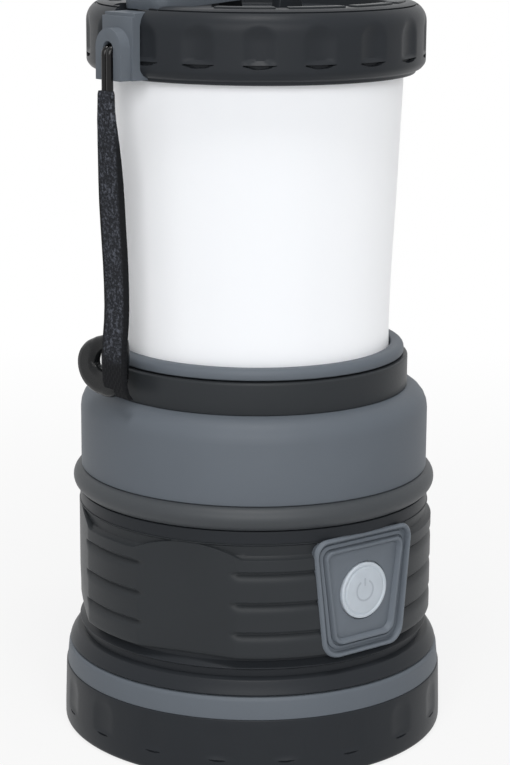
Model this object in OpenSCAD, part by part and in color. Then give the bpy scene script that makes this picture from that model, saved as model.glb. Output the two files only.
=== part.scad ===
// Battery camping lantern: grey and black housing on three D cells, opal globe under a fluted lid,
// folding hang loop, wrist strap and a folding hook under the foot. Millimetres, +Z up, foot on z = 0.
// Azimuth 0 faces -Y and grows towards +X.

/* [Foot] */
// Largest radius of the foot cover
foot_r = 48.3; // [47:0.1:50]
// Height of the black part of the foot
foot_h = 15.4; // [14:0.1:17]
// Height of the grey ring on the foot
foot_ring_h = 5.5; // [4:0.1:7]
// Depth of the recess under the foot
foot_recess = 6; // [5:0.1:7]
// Number of grip flutes round the foot and the lid
flutes = 18; // [12:1:24]
// Depth of a grip flute
flute_depth = 0.8; // [0.4:0.1:1.2]

/* [Housing] */
// Outer radius of the battery tube
tube_r = 42; // [41.5:0.1:42.4]
// Inner radius of the battery bay
bay_r = 39.4; // [38.6:0.1:39.8]
// Height of the jacket's lower edge
jacket_z0 = 29.9; // [29.5:0.1:30.4]
// Height of the jacket's upper edge
jacket_z1 = 58.2; // [57.8:0.1:58.6]
// Radius of the jacket in its grooves
jacket_r = 44.15; // [43.8:0.05:44.4]
// Radius of the jacket's ribs
rib_r = 45.15; // [44.8:0.05:45.4]
// Radius of the bumper bead
bead_r = 45.6; // [45.2:0.1:46]
// Height of the bead's lower edge
bead_z0 = 61.2; // [60.6:0.1:61.6]

/* [Shoulder and collar] */
// Radius of the grey shoulder
shoulder_r = 43.6; // [43.2:0.1:44]
// Height of the shoulder's lower edge
shoulder_z0 = 67.2; // [66.8:0.1:67.6]
// Height of the shoulder's top
shoulder_z1 = 88; // [87:0.1:89]
// Round at the shoulder's edge
shoulder_round = 6; // [4:0.1:6]
// Radius of the black collar
collar_r = 38.4; // [38:0.1:38.8]
// Height of the collar's top
collar_z1 = 95.8; // [95:0.1:96]

/* [Globe and lid] */
// Outer radius of the diffuser at its foot
diffuser_r0 = 33.6; // [33:0.1:33.8]
// Outer radius of the diffuser under the lid
diffuser_r1 = 36; // [35.6:0.1:36.2]
// Wall of the diffuser
diffuser_wall = 1.8; // [1.5:0.1:2.2]
// Outer radius of the grey globe ring
globe_ring_r = 37.4; // [37:0.1:38]
// Height of the globe ring's top
globe_ring_z1 = 98.8; // [98.4:0.1:99.2]
// Radius of the lid's wall
lid_r = 41.3; // [40.8:0.1:42]
// Height of the lid's lower edge
lid_z0 = 165.4; // [164:0.1:166]
// Height of the lid's top rim
lid_z1 = 182.7; // [182:0.1:183.5]

/* [Button] */
// Azimuth of the button
button_az = 38; // [20:1:60]
// Distance of the bezel's face from the axis
bezel_face = 45.2; // [44.9:0.1:45.6]
// Width of the bezel at its top
bezel_w1 = 31; // [26:0.5:31.5]
// Width of the bezel at its bottom
bezel_w0 = 24.5; // [22:0.5:26]
// Diameter of the button
button_d = 14; // [12:0.5:15]
// Travel of the button
button_travel = 0.4; // [0.3:0.1:0.4]

/* [Strap and hang loop] */
// Azimuth of the strap bracket and the hang loop
strap_az = -48; // [-60:1:-40]
// Width of the webbing
strap_w = 8.8; // [8:0.1:9.2]
// Thickness of the webbing
strap_t = 1.4; // [1:0.1:1.8]
// Diameter of the strap's cord
cord_d = 1.4; // [1.2:0.05:1.5]
// Height of the hang loop's pivot
loop_pivot_z = 186.2; // [185.8:0.1:187]
// Length of the hang loop from its pivot
loop_len = 36.5; // [34:0.1:36.8]

/* [Hidden] */
$fn = 96;
gap = 0.4;
eps = 0.01;
foot_top = foot_h + foot_ring_h;
foot_floor_t = 2;
foot_bore = 44.4;
foot_recess_r = 38.5;
foot_lug_r = 42.7;
foot_lug_z0 = 10.1;
foot_lug_z1 = 11.6;
foot_edge = 1.3;
foot_waist_z = 10;
flute_z0 = 5;
flute_z1 = 8.5;
lug_slack = 0.3;
lug_floor = foot_lug_r - gap;
slot_half = 5.2;
seal_r = 43.2;
seal_z = 18;
seal_cord = 0.9;
seal_groove = 0.95;
flange_z0 = foot_top + gap;
skirt_r = 43.6;
skirt_z0 = foot_recess + foot_floor_t + 0.6;
tube_top = 78;
tube_neck_r = 40.9;
bulkhead_t = 2.6;
waist_r = 43.9;
band_r = 44;
// Flare under the jacket, radius and height: flange, groove and the lip on which the jacket stands
flare = [[46.9, flange_z0], [46.4, 22.4], [45.7, 23.5], [44.9, 24.5], [43.7, 25], [43.7, 26.7], [44.45, 27.2],
    [waist_r, jacket_z0]];
beyond = foot_r + 5;
flute_r = 6;
rib_gap = 0.5;
rib_edge = 0.3;
rib_lip = 0.4;
rib_slope = 2.4;
shoulder_wall = 2.4;
rib_lines = [36, 43.4, 51];
rib_shoulder_z = 54.3;
// Top of the jacket: radius and height of the end of its slope, then of its rim
jacket_neck = [43.6, jacket_z1 - 0.7];
jacket_rim = [44.2, jacket_z1 - 0.25];
// Room that the jacket leaves round the bezel
jacket_slack = 0.1;
// Flat arch-topped panels of the jacket: azimuths, radius in the middle, radius of their gentle curve, half
// angle, radius and top of the arch
panels = [-21.5, -81.5, -141.5, 158.5];
panel_mid = 44.05;
panel_curve = 108;
panel_half = 16.3;
arch_r = 31.3;
arch_top = jacket_z1 - 0.5;
// D cells
cell_r = 16.6;
cell_body = 59.5;
cell_nub = 1.5;
cell_ring = 19.6;
cell_z0 = 13;
cell_z1 = cell_z0 + cell_body + cell_nub;
cell_nub_r = 4.75;
cell_slack = 0.3;
cradle_z0 = 20;
cradle_h = 46;
cradle_post = 31;
cradle_post_r = 4.5;
cradle_web = 2.4;
contact_r = 6;
contact_w = 8;
plate_z0 = 9.2;
plate_z1 = 11.4;
plate_slack = 0.2;
finger_hole_x = 30;
finger_hole_r = 2.5;
// Light unit
boss_ring = 27.5;
boss_r = 3.4;
pilot_r = 1.15;
clear_r = 1.35;
// Screws: shank radius, then a head's radius and height
screw_r = 1;
floor_screw_l = 10;
floor_head = [2.3, 1.4];
post_ring = 19;
post_r = 2.2;
sink_z0 = 92;
sink_z1 = 95;
sink_r = 31.9;
light_board_r = 24;
light_board_t = 1.2;
chip_w = 3.5;
chip_h = 0.9;
// Rings of light chips: radius and count
chip_rings = [[18, 12], [8, 4]];
fin_t = 1.2;
fin_h = 2;
fin_l = 26;
fin_step = 5;
floor_t = 2;
floor_slack = 0.3;
driver_z0 = 80;
driver_t = 1.6;
driver_r = 23.5;
driver_hole = 4;
// Capacitors on the driver board, x, y, radius and height, then boxes, corner x and y, width, depth, height
driver_cans = [[-11, 6, 4, 7], [11, 6, 4, 7]];
driver_boxes = [[-5, -15, 10, 8, 3], [7, -11, 6, 6, 4.5], [-3, 11, 6, 5, 2]];
// Bezel and button, measured outwards from the axis
bezel_z0 = 28.6;
bezel_z1 = jacket_z1 + 0.45;
bezel_round = 4;
// Least round of an inner corner, and the straight steps in each corner
corner_least = 1.2;
corner_steps = 6;
// Insets of the bezel's groove, of its sunken field, of the plate in it and of the space behind
groove_in = [1.5, 2.7];
groove_depth = 0.7;
field_in = 4.2;
plate_in = 4.3;
back_in = 5.2;
pocket_d = 40.5;
plate_d0 = 42.7;
plate_d1 = 43.6;
// Inset of the inside of the plate's raised rim, and the rim's distance from the axis
plate_rim_in = 6;
plate_rim_d = 44.8;
button_z = 43.9;
button_face = 44;
button_slack = 0.3;
cap_back = 42.9;
cap_dish = 1.8;
stem_r = 1.52;
stem_bore = 1.6;
switch_d0 = 41;
switch_d1 = 42.2;
switch_half = 3.1;
board_half = [6, 8];
skirt_wall = 1.6;
skirt_lip = 0.9;
lip_d0 = switch_d0 + gap + button_travel;
lip_d1 = lip_d0 + 0.5;
// Globe ring and its bayonet
spigot_r = 34.6;
spigot_z0 = 88.6;
ring_bore = 32.4;
ring_round = 1.6;
diffuser_slack = 0.5;
ring_ledge_z = 97;
lug_angle = 12;
lug_z0 = 89;
lug_z1 = 90.5;
collar_ledge_z = 91;
collar_bore = 35.6;
collar_lower_bore = 36.8;
lug_r = 36.2;
notch_half = 4.5;
collar_chamfer = 0.6;
ring_z0 = collar_z1 + gap;
// Lid
lid_bore = 36.6;
lid_low_r = globe_ring_r;
lid_chamfer_z = 168.9;
lid_round = 5;
dish_r = 31.5;
dish_z = 179.5;
roof_z = 177;
liner_z0 = 171.8;
liner_t = 1.6;
lid_screw_ring = 24;
lid_screw_l = 6.2;
lid_head = [2.2, 1.3];
lid_boss_r = 3.2;
lid_flute_z0 = 169.8;
lid_flute_z1 = 175.5;
lid_wall_in = dish_r + 2.2;
pad_count = 13;
pad_h = 0.45;
pad_r = 33.2;
pad_w = 3;
pad_gap = 5;
pad_first = 9.5;
// Reflector under the liner: radius and depth
cone = [[17, 0], [16, 1.4], [11, 6], [6.5, 12], [3, 19], [1.2, 25], [0, 25.6]];
// Bracket, eye and cord, r outwards from the axis
bracket_w = 11;
bracket_face = 43.2;
bracket_z0 = 165.8;
bracket_top = 181.2;
bracket_lip = 0.8;
bracket_in = 33.5;
notch_in = 37.8;
notch_z = 180;
eye_w = 9.2;
eye_face = 46;
eye_top = 177.8;
slot_w = 3.8;
slot_top = 174.8;
slot_back = 41.9;
pin_r_out = 44.6;
pin_z = 171.7;
strap_pin_r = 0.8;
strap_pin_half = eye_w / 2 - 0.6;
cord_r = cord_d / 2;
cord_ring = 1.6;
cord_side = 0.75;
// Angle that the cord goes round the pin, and the sides of its tube
cord_wrap = 300;
cord_sides = 8;
crimp_z0 = 158.5;
crimp_z1 = 163.5;
crimp_w = 6.8;
crimp_t = 3.2;
// Side line of the webbing: distance from the axis and height, chosen by hand
strap_line = [[46.6, crimp_z0], [46.3, 155], [45.2, 138], [44.1, 120], [43.9, 104]];
// Moulded eye at the strap's end: sideways and height of its round part, its hole and its straight edge
end_d0 = 42.4;
end_d1 = 45.6;
end_eye = [-8.3, 96.7];
end_eye_r = 7.1;
end_hole = [-6, 99.3];
end_hole_r = 2.5;
end_hole_tip = [-5.1, 101.2];
end_hole_tip_r = 1;
end_edge = [[-2.4, 89.7], [0.8, 91.4], [2.7, 94.8], [4.4, 98.6]];
// Hang loop, along the bracket's azimuth
loop_drop = 4.1;
loop_t = 4;
loop_knuckle = 3.4;
loop_half0 = 9;
loop_half1 = 7.4;
loop_in0 = 5;
loop_in1 = 3.7;
loop_slot0 = 6.5;
loop_bar = 4;
loop_corner = 3.4;
loop_slot_corner = 2.4;
loop_pin_r = 1.5;
ear_t = 3;
ear_r = 3;
loop_pin_half = loop_half0 + gap + ear_t - 0.4;
// Base hook
hook_z = 3.4;
hook_t = 3;
hook_pin_r = 1.2;
hook_knuckle = 2.1;
hook_arm = 21;
hook_out = 9;
hook_in = 5.2;
hook_arm_half = 2.6;
hook_ear = 5.3;
hook_ear_t = 2.8;
hook_ear_r = 2.2;
running = 0.06;

abs_black = [0.16, 0.165, 0.175];
abs_grey = [0.42, 0.45, 0.48];
rubber_black = [0.13, 0.13, 0.14];
opal = [0.95, 0.96, 0.97];
steel = [0.7, 0.71, 0.72];

// Turns to an azimuth: outwards becomes -Y, sideways becomes +X
module at_az(az) { rotate([0, 0, az]) children(); }

// Pushes an outline drawn in width and height outwards from one distance to another
module outwards(az, d0, d1) {
    at_az(az) translate([0, -d0, 0]) rotate([90, 0, 0]) linear_extrude(d1 - d0) children();
}

// A round bar lying sideways at an azimuth
module cross_bar(az, d, z, r, half) {
    at_az(az) translate([-half, -d, z]) rotate([0, 90, 0]) cylinder(r = r, h = 2 * half);
}

module ring(r0, r1, z0, z1) {
    rotate_extrude() translate([r0, z0]) square([r1 - r0, z1 - z0]);
}

// Three copies round the axis
module thirds(first = 0) {
    for (i = [0:2]) rotate([0, 0, first + 120 * i]) children();
}

// A pan head screw, head up, with its head's seat at z = 0
module pan_screw(shank_r, shank_l, head_r, head_h) {
    translate([0, 0, -shank_l]) cylinder(r = shank_r, h = shank_l + eps);
    difference() {
        cylinder(r = head_r, h = head_h);
        for (a = [0, 90])
            rotate([0, 0, a]) translate([-head_r * 0.6, -head_r * 0.12, head_h * 0.5])
                cube([head_r * 1.2, head_r * 0.24, head_h]);
    }
}

// Scoops for the fingers: a flat ledge below, a round end above
module flute_cutters(r, z0, z1, first) {
    for (i = [0:flutes - 1])
        at_az(first + i * 360 / flutes) translate([0, -(r - flute_depth + flute_r), 0]) {
            translate([0, 0, z0]) cylinder(r = flute_r, h = z1 - z0);
            translate([0, 0, z1]) sphere(r = flute_r);
        }
}

// Three lugs, 30 degrees round from the notches that let them in
module bayonet_lugs(r0, r1, z0, z1) {
    thirds(-lug_angle / 2) rotate_extrude(angle = lug_angle) translate([r0, z0]) square([r1 - r0, z1 - z0]);
}

// Housing

// Points round one corner of the bezel
function corner_arc(centre, r, from, to) = [for (k = [0 : corner_steps])
    let (a = from + (to - from) * k / corner_steps) centre + r * [cos(a), sin(a)]];

module bezel_outline(grow = 0) {
    r = max(corner_least, bezel_round + grow / 2);
    top = bezel_w1 / 2 + grow;
    low = bezel_w0 / 2 + grow;
    z0 = bezel_z0 - grow;
    z1 = bezel_z1 + grow;
    lean = (top - low) / (z1 - z0);
    tilt = atan(lean);
    // Centres of the corner arcs
    inset = r * sqrt(1 + lean * lean);
    x1 = top - inset - lean * r;
    x0 = low - inset + lean * r;
    polygon(concat(corner_arc([x0, z0 + r], r, -90, -tilt), corner_arc([x1, z1 - r], r, -tilt, 90),
        corner_arc([-x1, z1 - r], r, 90, 180 + tilt), corner_arc([-x0, z0 + r], r, 180 + tilt, 270)));
}

module battery_housing() color(abs_black) difference() {
    union() {
        rotate_extrude() polygon([[0, tube_top - bulkhead_t], [bay_r, tube_top - bulkhead_t],
            [bay_r, skirt_z0], [skirt_r, skirt_z0], [skirt_r, flange_z0], each flare, [tube_r, jacket_z0],
            [tube_r, jacket_z1], [band_r, jacket_z1], [band_r, bead_z0], [tube_r, bead_z0],
            [tube_r, shoulder_z0], [tube_neck_r, shoulder_z0], [tube_neck_r, tube_top], [0, tube_top]]);
        thirds() translate([0, -boss_ring, tube_top - eps])
            cylinder(r = boss_r, h = sink_z0 - tube_top + eps);
        thirds(60) translate([0, -post_ring, tube_top - eps])
            cylinder(r = post_r, h = driver_z0 - tube_top + eps);
    }
    thirds() translate([0, -boss_ring, sink_z0 - floor_screw_l + 2]) cylinder(r = pilot_r, h = floor_screw_l);
    ring(seal_r - seal_groove, skirt_r + 1, seal_z - 1, seal_z + 1);
    // Groove for the foot's lugs, and the three slots that let them in
    ring(lug_floor, skirt_r + 1, foot_lug_z0 - lug_slack, foot_lug_z1 + lug_slack);
    thirds() translate([-slot_half, -skirt_r - 1, skirt_z0 - 1])
        cube([2 * slot_half, skirt_r + 2 - lug_floor, foot_lug_z1 - skirt_z0 + 1]);
    outwards(button_az, pocket_d, beyond) bezel_outline();
}

// A rib's sharp lower lip, then the long slope up to the groove above it
function rib_points(z0, z1) = [[rib_r - rib_edge, z0], [rib_r, z0 + rib_lip], [rib_r, z1 - rib_slope],
    [jacket_r, z1]];

function rib_stack() = [for (i = [0:len(rib_lines)])
    let (z0 = i == 0 ? jacket_z0 : rib_lines[i - 1] + rib_gap / 2)
    each i == len(rib_lines) ? [[rib_r - rib_edge, z0], [rib_r, z0 + rib_lip], [rib_r, rib_shoulder_z]]
        : concat(rib_points(z0, rib_lines[i] - rib_gap / 2), [[jacket_r, rib_lines[i] + rib_gap / 2]])];

// Fills the grooves behind each panel, and stands out of the slope above it in an arch
module panel_blocks() {
    side = beyond * tan(panel_half);
    for (az = panels) at_az(az) intersection() {
        translate([0, 0, arch_top - arch_r]) rotate([90, 0, 0]) cylinder(r = arch_r, h = beyond);
        linear_extrude(shoulder_z0) polygon([[0, 0], [-side, -beyond], [side, -beyond]]);
    }
}

// Trims each panel to its gentle curve
module panel_trims() {
    side = beyond * sin(panel_half);
    for (az = panels) at_az(az) difference() {
        translate([-side, -beyond, 0]) cube([2 * side, beyond - tube_r, shoulder_z0]);
        translate([0, panel_curve - panel_mid, -1]) cylinder(r = panel_curve, h = shoulder_z0 + 2);
    }
}

module grip_jacket() color(rubber_black) difference() {
    union() {
        rotate_extrude() polygon(concat([[tube_r, jacket_z0]], rib_stack(),
            [jacket_neck, jacket_rim, [jacket_rim[0], jacket_z1], [tube_r, jacket_z1]]));
        intersection() {
            ring(tube_r + gap, rib_r + gap, jacket_z0, jacket_z1);
            panel_blocks();
        }
    }
    panel_trims();
    outwards(button_az, pocket_d, beyond) bezel_outline(jacket_slack);
}

module bumper_ring() color(rubber_black) rotate_extrude() {
    r = (shoulder_z0 - bead_z0) / 2;
    translate([tube_r, bead_z0]) square([bead_r - r - tube_r, 2 * r]);
    intersection() {
        translate([bead_r - r, bead_z0 + r]) circle(r);
        translate([bead_r - r - eps, bead_z0]) square(2 * r);
    }
}

module shoulder_shell() color(abs_grey) rotate_extrude() difference() {
    r = shoulder_round;
    wall = shoulder_wall;
    union() {
        translate([0, shoulder_z0]) square([shoulder_r, shoulder_z1 - r - shoulder_z0]);
        translate([0, shoulder_z0]) square([shoulder_r - r, shoulder_z1 - shoulder_z0]);
        translate([shoulder_r - r, shoulder_z1 - r]) circle(r);
    }
    translate([0, shoulder_z0 - 1]) square([shoulder_r - wall, shoulder_z1 - r - shoulder_z0 + 1]);
    translate([0, shoulder_z0 - 1]) square([shoulder_r - r, shoulder_z1 - wall - shoulder_z0 + 1]);
    translate([shoulder_r - r, shoulder_z1 - r]) circle(r - wall);
    translate([0, shoulder_z0 - 1]) square([collar_lower_bore, shoulder_z1 - shoulder_z0 + 2]);
    translate([-shoulder_r, 0]) square([shoulder_r, shoulder_z1 + 1]);
}

// The ledge inside holds the globe's lugs, and three notches in it let them in
module collar_band() color(rubber_black) difference() {
    rotate_extrude() polygon([[collar_lower_bore, shoulder_z1], [collar_r, shoulder_z1],
        [collar_r, collar_z1 - collar_chamfer], [collar_r - collar_chamfer, collar_z1],
        [collar_bore, collar_z1], [collar_bore, collar_ledge_z],
        [collar_lower_bore, collar_ledge_z]]);
    thirds() translate([-notch_half, -collar_lower_bore, collar_ledge_z - 1])
        cube([2 * notch_half, 5, collar_z1]);
}

module button_bezel() color(abs_grey) difference() {
    outwards(button_az, pocket_d, bezel_face) bezel_outline();
    // Sunken field inside the frame, a groove round it, and the space behind the plate
    outwards(button_az, plate_d0, bezel_face + 1) bezel_outline(-field_in);
    outwards(button_az, bezel_face - groove_depth, bezel_face + 1) difference() {
        bezel_outline(-groove_in[0]);
        bezel_outline(-groove_in[1]);
    }
    outwards(button_az, pocket_d - 1, plate_d0 + eps) bezel_outline(-back_in);
}

module button_plate() color(abs_grey) difference() {
    outwards(button_az, plate_d0, plate_rim_d) bezel_outline(-plate_in);
    // Floor inside the raised rim, and the button's hole
    outwards(button_az, plate_d1, plate_rim_d + 1) bezel_outline(-plate_rim_in);
    outwards(button_az, plate_d0 - 1, plate_d1 + 1) translate([0, button_z])
        circle(button_d / 2 + button_slack);
}

module switch_board() color([0.1, 0.35, 0.2]) outwards(button_az, pocket_d, switch_d0)
    translate([-board_half[0], button_z - board_half[1]]) square(2 * board_half);

module tact_switch() color([0.2, 0.2, 0.22]) difference() {
    outwards(button_az, switch_d0, switch_d1) translate([-switch_half, button_z - switch_half])
        square(2 * switch_half);
    outwards(button_az, switch_d0 + 0.2, switch_d1 + 1) translate([0, button_z]) circle(stem_bore);
}

// Dished cap, a skirt that stops behind the plate, and the stem that works the switch
module power_button() color([0.78, 0.82, 0.86]) at_az(button_az) translate([0, 0, button_z])
    rotate([90, 0, 0]) rotate_extrude() {
        r = button_d / 2;
        polygon([[0, cap_back], [r - skirt_wall, cap_back], [r - skirt_wall, lip_d0], [r + skirt_lip, lip_d0],
            [r + skirt_lip, lip_d1], [r, lip_d1], [r, button_face - 0.5], [r - 0.5, button_face],
            [r - cap_dish + gap, button_face], [r - cap_dish, button_face - 0.25], [0, button_face]]);
        translate([0, switch_d1 - 0.2]) square([stem_r, cap_back - switch_d1 + 0.3]);
    }

// Cells and contacts

module d_cell(up) {
    translate([0, -cell_ring, up ? cell_z0 : cell_z0 + cell_nub]) cylinder(r = cell_r, h = cell_body);
    translate([0, -cell_ring, up ? cell_z0 + cell_body - eps : cell_z0])
        cylinder(r = cell_nub_r, h = cell_nub + eps);
}

module cell_1() color([0.55, 0.4, 0.16]) d_cell(true);

module cell_2() color([0.55, 0.4, 0.16]) rotate([0, 0, 120]) d_cell(false);

module cell_3() color([0.55, 0.4, 0.16]) rotate([0, 0, 240]) d_cell(true);

module cell_cradle() color(abs_black) difference() {
    union() {
        thirds(60) translate([0, -cradle_post, cradle_z0 + 1]) cylinder(r = cradle_post_r, h = cradle_h - 2);
        for (z = [cradle_z0, cradle_z0 + cradle_h - cradle_web])
            translate([0, 0, z]) cylinder(r = bay_r - plate_slack, h = cradle_web);
    }
    thirds() translate([0, -cell_ring, cradle_z0 - 1]) cylinder(r = cell_r + cell_slack, h = cradle_h + 2);
}

// A strap that joins two neighbouring cells, and a single disc for the third
module contacts(first, z0, z1) {
    thirds(first) translate([0, -cell_ring, z0]) cylinder(r = contact_r, h = z1 - z0);
    at_az(first + 180) translate([-cell_ring * sin(60), -cell_ring / 2 - contact_w / 2, z0])
        cube([2 * cell_ring * sin(60), contact_w, z1 - z0]);
}

module upper_contacts() color([0.75, 0.66, 0.4]) contacts(0, cell_z1, tube_top - bulkhead_t);

module lower_contacts() color([0.75, 0.66, 0.4]) contacts(240, plate_z1, cell_z0);

module battery_plate() color(abs_black) difference() {
    translate([0, 0, plate_z0]) cylinder(r = bay_r - plate_slack, h = plate_z1 - plate_z0);
    for (s = [-1, 1]) translate([s * finger_hole_x, 0, plate_z0 - 1])
        cylinder(r = finger_hole_r, h = plate_z1 - plate_z0 + 2);
}

module base_seal() color(rubber_black) rotate_extrude() translate([seal_r, seal_z]) circle(seal_cord);

// Light unit

module driver_board() color([0.1, 0.35, 0.2]) translate([0, 0, driver_z0]) difference() {
    cylinder(r = driver_r, h = driver_t);
    translate([0, 0, -1]) cylinder(r = driver_hole, h = driver_t + 2);
}

module driver_parts() color([0.2, 0.2, 0.22]) translate([0, 0, driver_z0 + driver_t]) {
    for (c = driver_cans) translate([c[0], c[1], 0]) cylinder(r = c[2], h = c[3]);
    for (b = driver_boxes) translate([b[0], b[1], 0]) cube([b[2], b[3], b[4]]);
}

module heat_sink() color([0.75, 0.76, 0.78]) difference() {
    union() {
        translate([0, 0, sink_z0]) cylinder(r = sink_r, h = sink_z1 - sink_z0);
        for (i = [-3:3]) translate([fin_step * i - fin_t / 2, -fin_l / 2, sink_z0 - fin_h])
            cube([fin_t, fin_l, fin_h + eps]);
    }
    thirds() translate([0, -boss_ring, sink_z0 - 1]) cylinder(r = clear_r, h = 5);
}

module light_board() color([0.9, 0.91, 0.92]) translate([0, 0, sink_z1])
    cylinder(r = light_board_r, h = light_board_t);

module light_chips() color([0.93, 0.85, 0.45])
    for (c = chip_rings) for (i = [0:c[1] - 1])
        at_az(360 / c[1] * i) translate([-chip_w / 2, -c[0] - chip_w / 2, sink_z1 + light_board_t])
            cube([chip_w, chip_w, chip_h]);

module light_floor() color(opal) difference() {
    rotate_extrude() polygon([[light_board_r + floor_slack, sink_z1], [sink_r - gap, sink_z1],
        [sink_r - gap, sink_z1 + floor_t], [light_board_r + 3, sink_z1 + floor_t],
        [light_board_r + floor_slack, sink_z1 + light_board_t]]);
    thirds() translate([0, -boss_ring, sink_z1 - 1]) cylinder(r = clear_r, h = 5);
}

module floor_screws() color(steel) thirds() translate([0, -boss_ring, sink_z1 + floor_t])
    pan_screw(screw_r, floor_screw_l, floor_head[0], floor_head[1]);

// Globe and lid

module globe_ring() color(abs_grey) {
    r = ring_round;
    bore = ring_bore;
    rotate_extrude() difference() {
        union() {
            translate([bore, spigot_z0]) square([spigot_r - bore, ring_ledge_z - spigot_z0]);
            translate([bore, ring_z0]) square([globe_ring_r - r - bore, globe_ring_z1 - ring_z0]);
            translate([bore, ring_z0]) square([globe_ring_r - bore, globe_ring_z1 - r - ring_z0]);
            intersection() {
                translate([globe_ring_r - r, globe_ring_z1 - r]) circle(r);
                translate([bore, globe_ring_z1 - r - eps]) square(spigot_r);
            }
        }
        translate([bore - 1, ring_ledge_z]) square([diffuser_r0 + diffuser_slack - bore + 1, 5]);
    }
    bayonet_lugs(spigot_r - 0.5, lug_r, lug_z0, lug_z1);
}

module diffuser() color(opal) rotate_extrude() {
    w = diffuser_wall;
    polygon([[diffuser_r0 - w, ring_ledge_z], [diffuser_r0, ring_ledge_z], [diffuser_r1, lid_z0],
        [diffuser_r1, liner_z0], [diffuser_r1 - w, liner_z0], [diffuser_r1 - w, lid_z0]]);
}

// Outer outline of the lid, without its flutes
module lid_outline() {
    r = lid_round;
    polygon([[0, lid_z0], [lid_low_r, lid_z0], [lid_r - 0.5, lid_chamfer_z - 0.5],
        [lid_r, lid_chamfer_z + 0.4], [lid_r, lid_z1 - r], [lid_r - r, lid_z1], [0, lid_z1]]);
    intersection() {
        translate([lid_r - r, lid_z1 - r]) circle(r);
        square([lid_r + 1, lid_z1 + 1]);
    }
}

module lid_shell() color(abs_black) difference() {
    union() {
        rotate_extrude() difference() {
            lid_outline();
            translate([-1, lid_z0 - 1]) square([lid_bore + 1, liner_z0 + liner_t - lid_z0 + 1]);
            translate([-1, liner_z0]) square([lid_wall_in + 1, roof_z - liner_z0]);
            translate([-1, dish_z]) square([dish_r + 1, 10]);
        }
        // Bosses for the lid screws, and the two ears that carry the hang loop
        thirds(30) translate([0, -lid_screw_ring, liner_z0 + liner_t])
            cylinder(r = lid_boss_r, h = roof_z - liner_z0 - liner_t + eps);
        for (s = [-1, 1]) at_az(strap_az) translate([s * (loop_half0 + gap + ear_t / 2), 0, 0]) hang_ear();
    }
    thirds(30) translate([0, -lid_screw_ring, liner_z0]) cylinder(r = pilot_r, h = dish_z - liner_z0 - 1);
    flute_cutters(lid_r, lid_flute_z0, lid_flute_z1, 0);
    // Notch in the rim for the end of the hang loop and the bracket's top
    at_az(strap_az) translate([-loop_half1 - 2 * gap, -notch_in, notch_z])
        cube([2 * loop_half1 + 4 * gap, notch_in - dish_r + 4, 10]);
    at_az(strap_az) translate([-bracket_w / 2, -lid_r - 3, notch_z]) cube([bracket_w, 10, 10]);
    cross_bar(strap_az, 0, loop_pivot_z, loop_pin_r, loop_pin_half);
}

module hang_ear() {
    translate([-ear_t / 2, -ear_r, dish_z - eps]) cube([ear_t, 2 * ear_r, loop_pivot_z - dish_z + eps]);
    translate([-ear_t / 2, 0, loop_pivot_z]) rotate([0, 90, 0]) cylinder(r = ear_r, h = ear_t);
}

module rim_pads() color(rubber_black) {
    step = 360 / pad_count;
    // Gaps between pads fall at the first azimuth and every step from there, with no pad across the notch
    for (i = [0:pad_count - 1]) {
        mid = pad_first + step * (i + 0.5);
        off = abs(((mid - strap_az + 180) % 360) - 180);
        if (off > step * 0.9)
            at_az(mid - 90 - (step - pad_gap) / 2) rotate_extrude(angle = step - pad_gap)
                translate([pad_r, lid_z1]) square([pad_w, pad_h]);
    }
}

module lid_liner() color(opal) difference() {
    translate([0, 0, liner_z0]) cylinder(r = lid_bore - plate_slack, h = liner_t);
    thirds(30) translate([0, -lid_screw_ring, liner_z0 - 1]) cylinder(r = clear_r, h = 4);
}

module lid_screws() color(steel) thirds(30) translate([0, -lid_screw_ring, liner_z0]) mirror([0, 0, 1])
    pan_screw(screw_r, lid_screw_l, lid_head[0], lid_head[1]);

module reflector_cone() color([0.86, 0.87, 0.88]) rotate_extrude()
    polygon([[0, liner_z0], for (c = cone) [c[0], liner_z0 - c[1]]]);

module eye_outline() {
    translate([-eye_w / 2, bracket_z0]) square([eye_w, eye_top - eye_w / 2 - bracket_z0]);
    translate([0, eye_top - eye_w / 2]) circle(eye_w / 2);
}

// Grey plate over the rim with the strap's eye on it
module strap_bracket() color(abs_grey) difference() {
    union() {
        outwards(strap_az, bracket_in + 2.5, bracket_face) translate([-bracket_w / 2, bracket_z0])
            square([bracket_w, bracket_top - bracket_lip - bracket_z0]);
        outwards(strap_az, bracket_in, bracket_face - bracket_lip) translate([-bracket_w / 2, notch_z])
            square([bracket_w, bracket_top - notch_z]);
        outwards(strap_az, bracket_face - 1, eye_face) eye_outline();
    }
    difference() {
        rotate_extrude() lid_outline();
        at_az(strap_az) translate([-bracket_w, -lid_r - 5, notch_z]) cube([2 * bracket_w, 20, 10]);
    }
    outwards(strap_az, slot_back, eye_face + 1) {
        translate([-slot_w / 2, bracket_z0 - 1]) square([slot_w, slot_top - slot_w / 2 - bracket_z0 + 1]);
        translate([0, slot_top - slot_w / 2]) circle(slot_w / 2);
    }
    cross_bar(strap_az, pin_r_out, pin_z, strap_pin_r, strap_pin_half);
}

module strap_pin() color(steel) cross_bar(strap_az, pin_r_out, pin_z, strap_pin_r, strap_pin_half);

module loop_pin() color(steel) cross_bar(strap_az, 0, loop_pivot_z, loop_pin_r, loop_pin_half);

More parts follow.
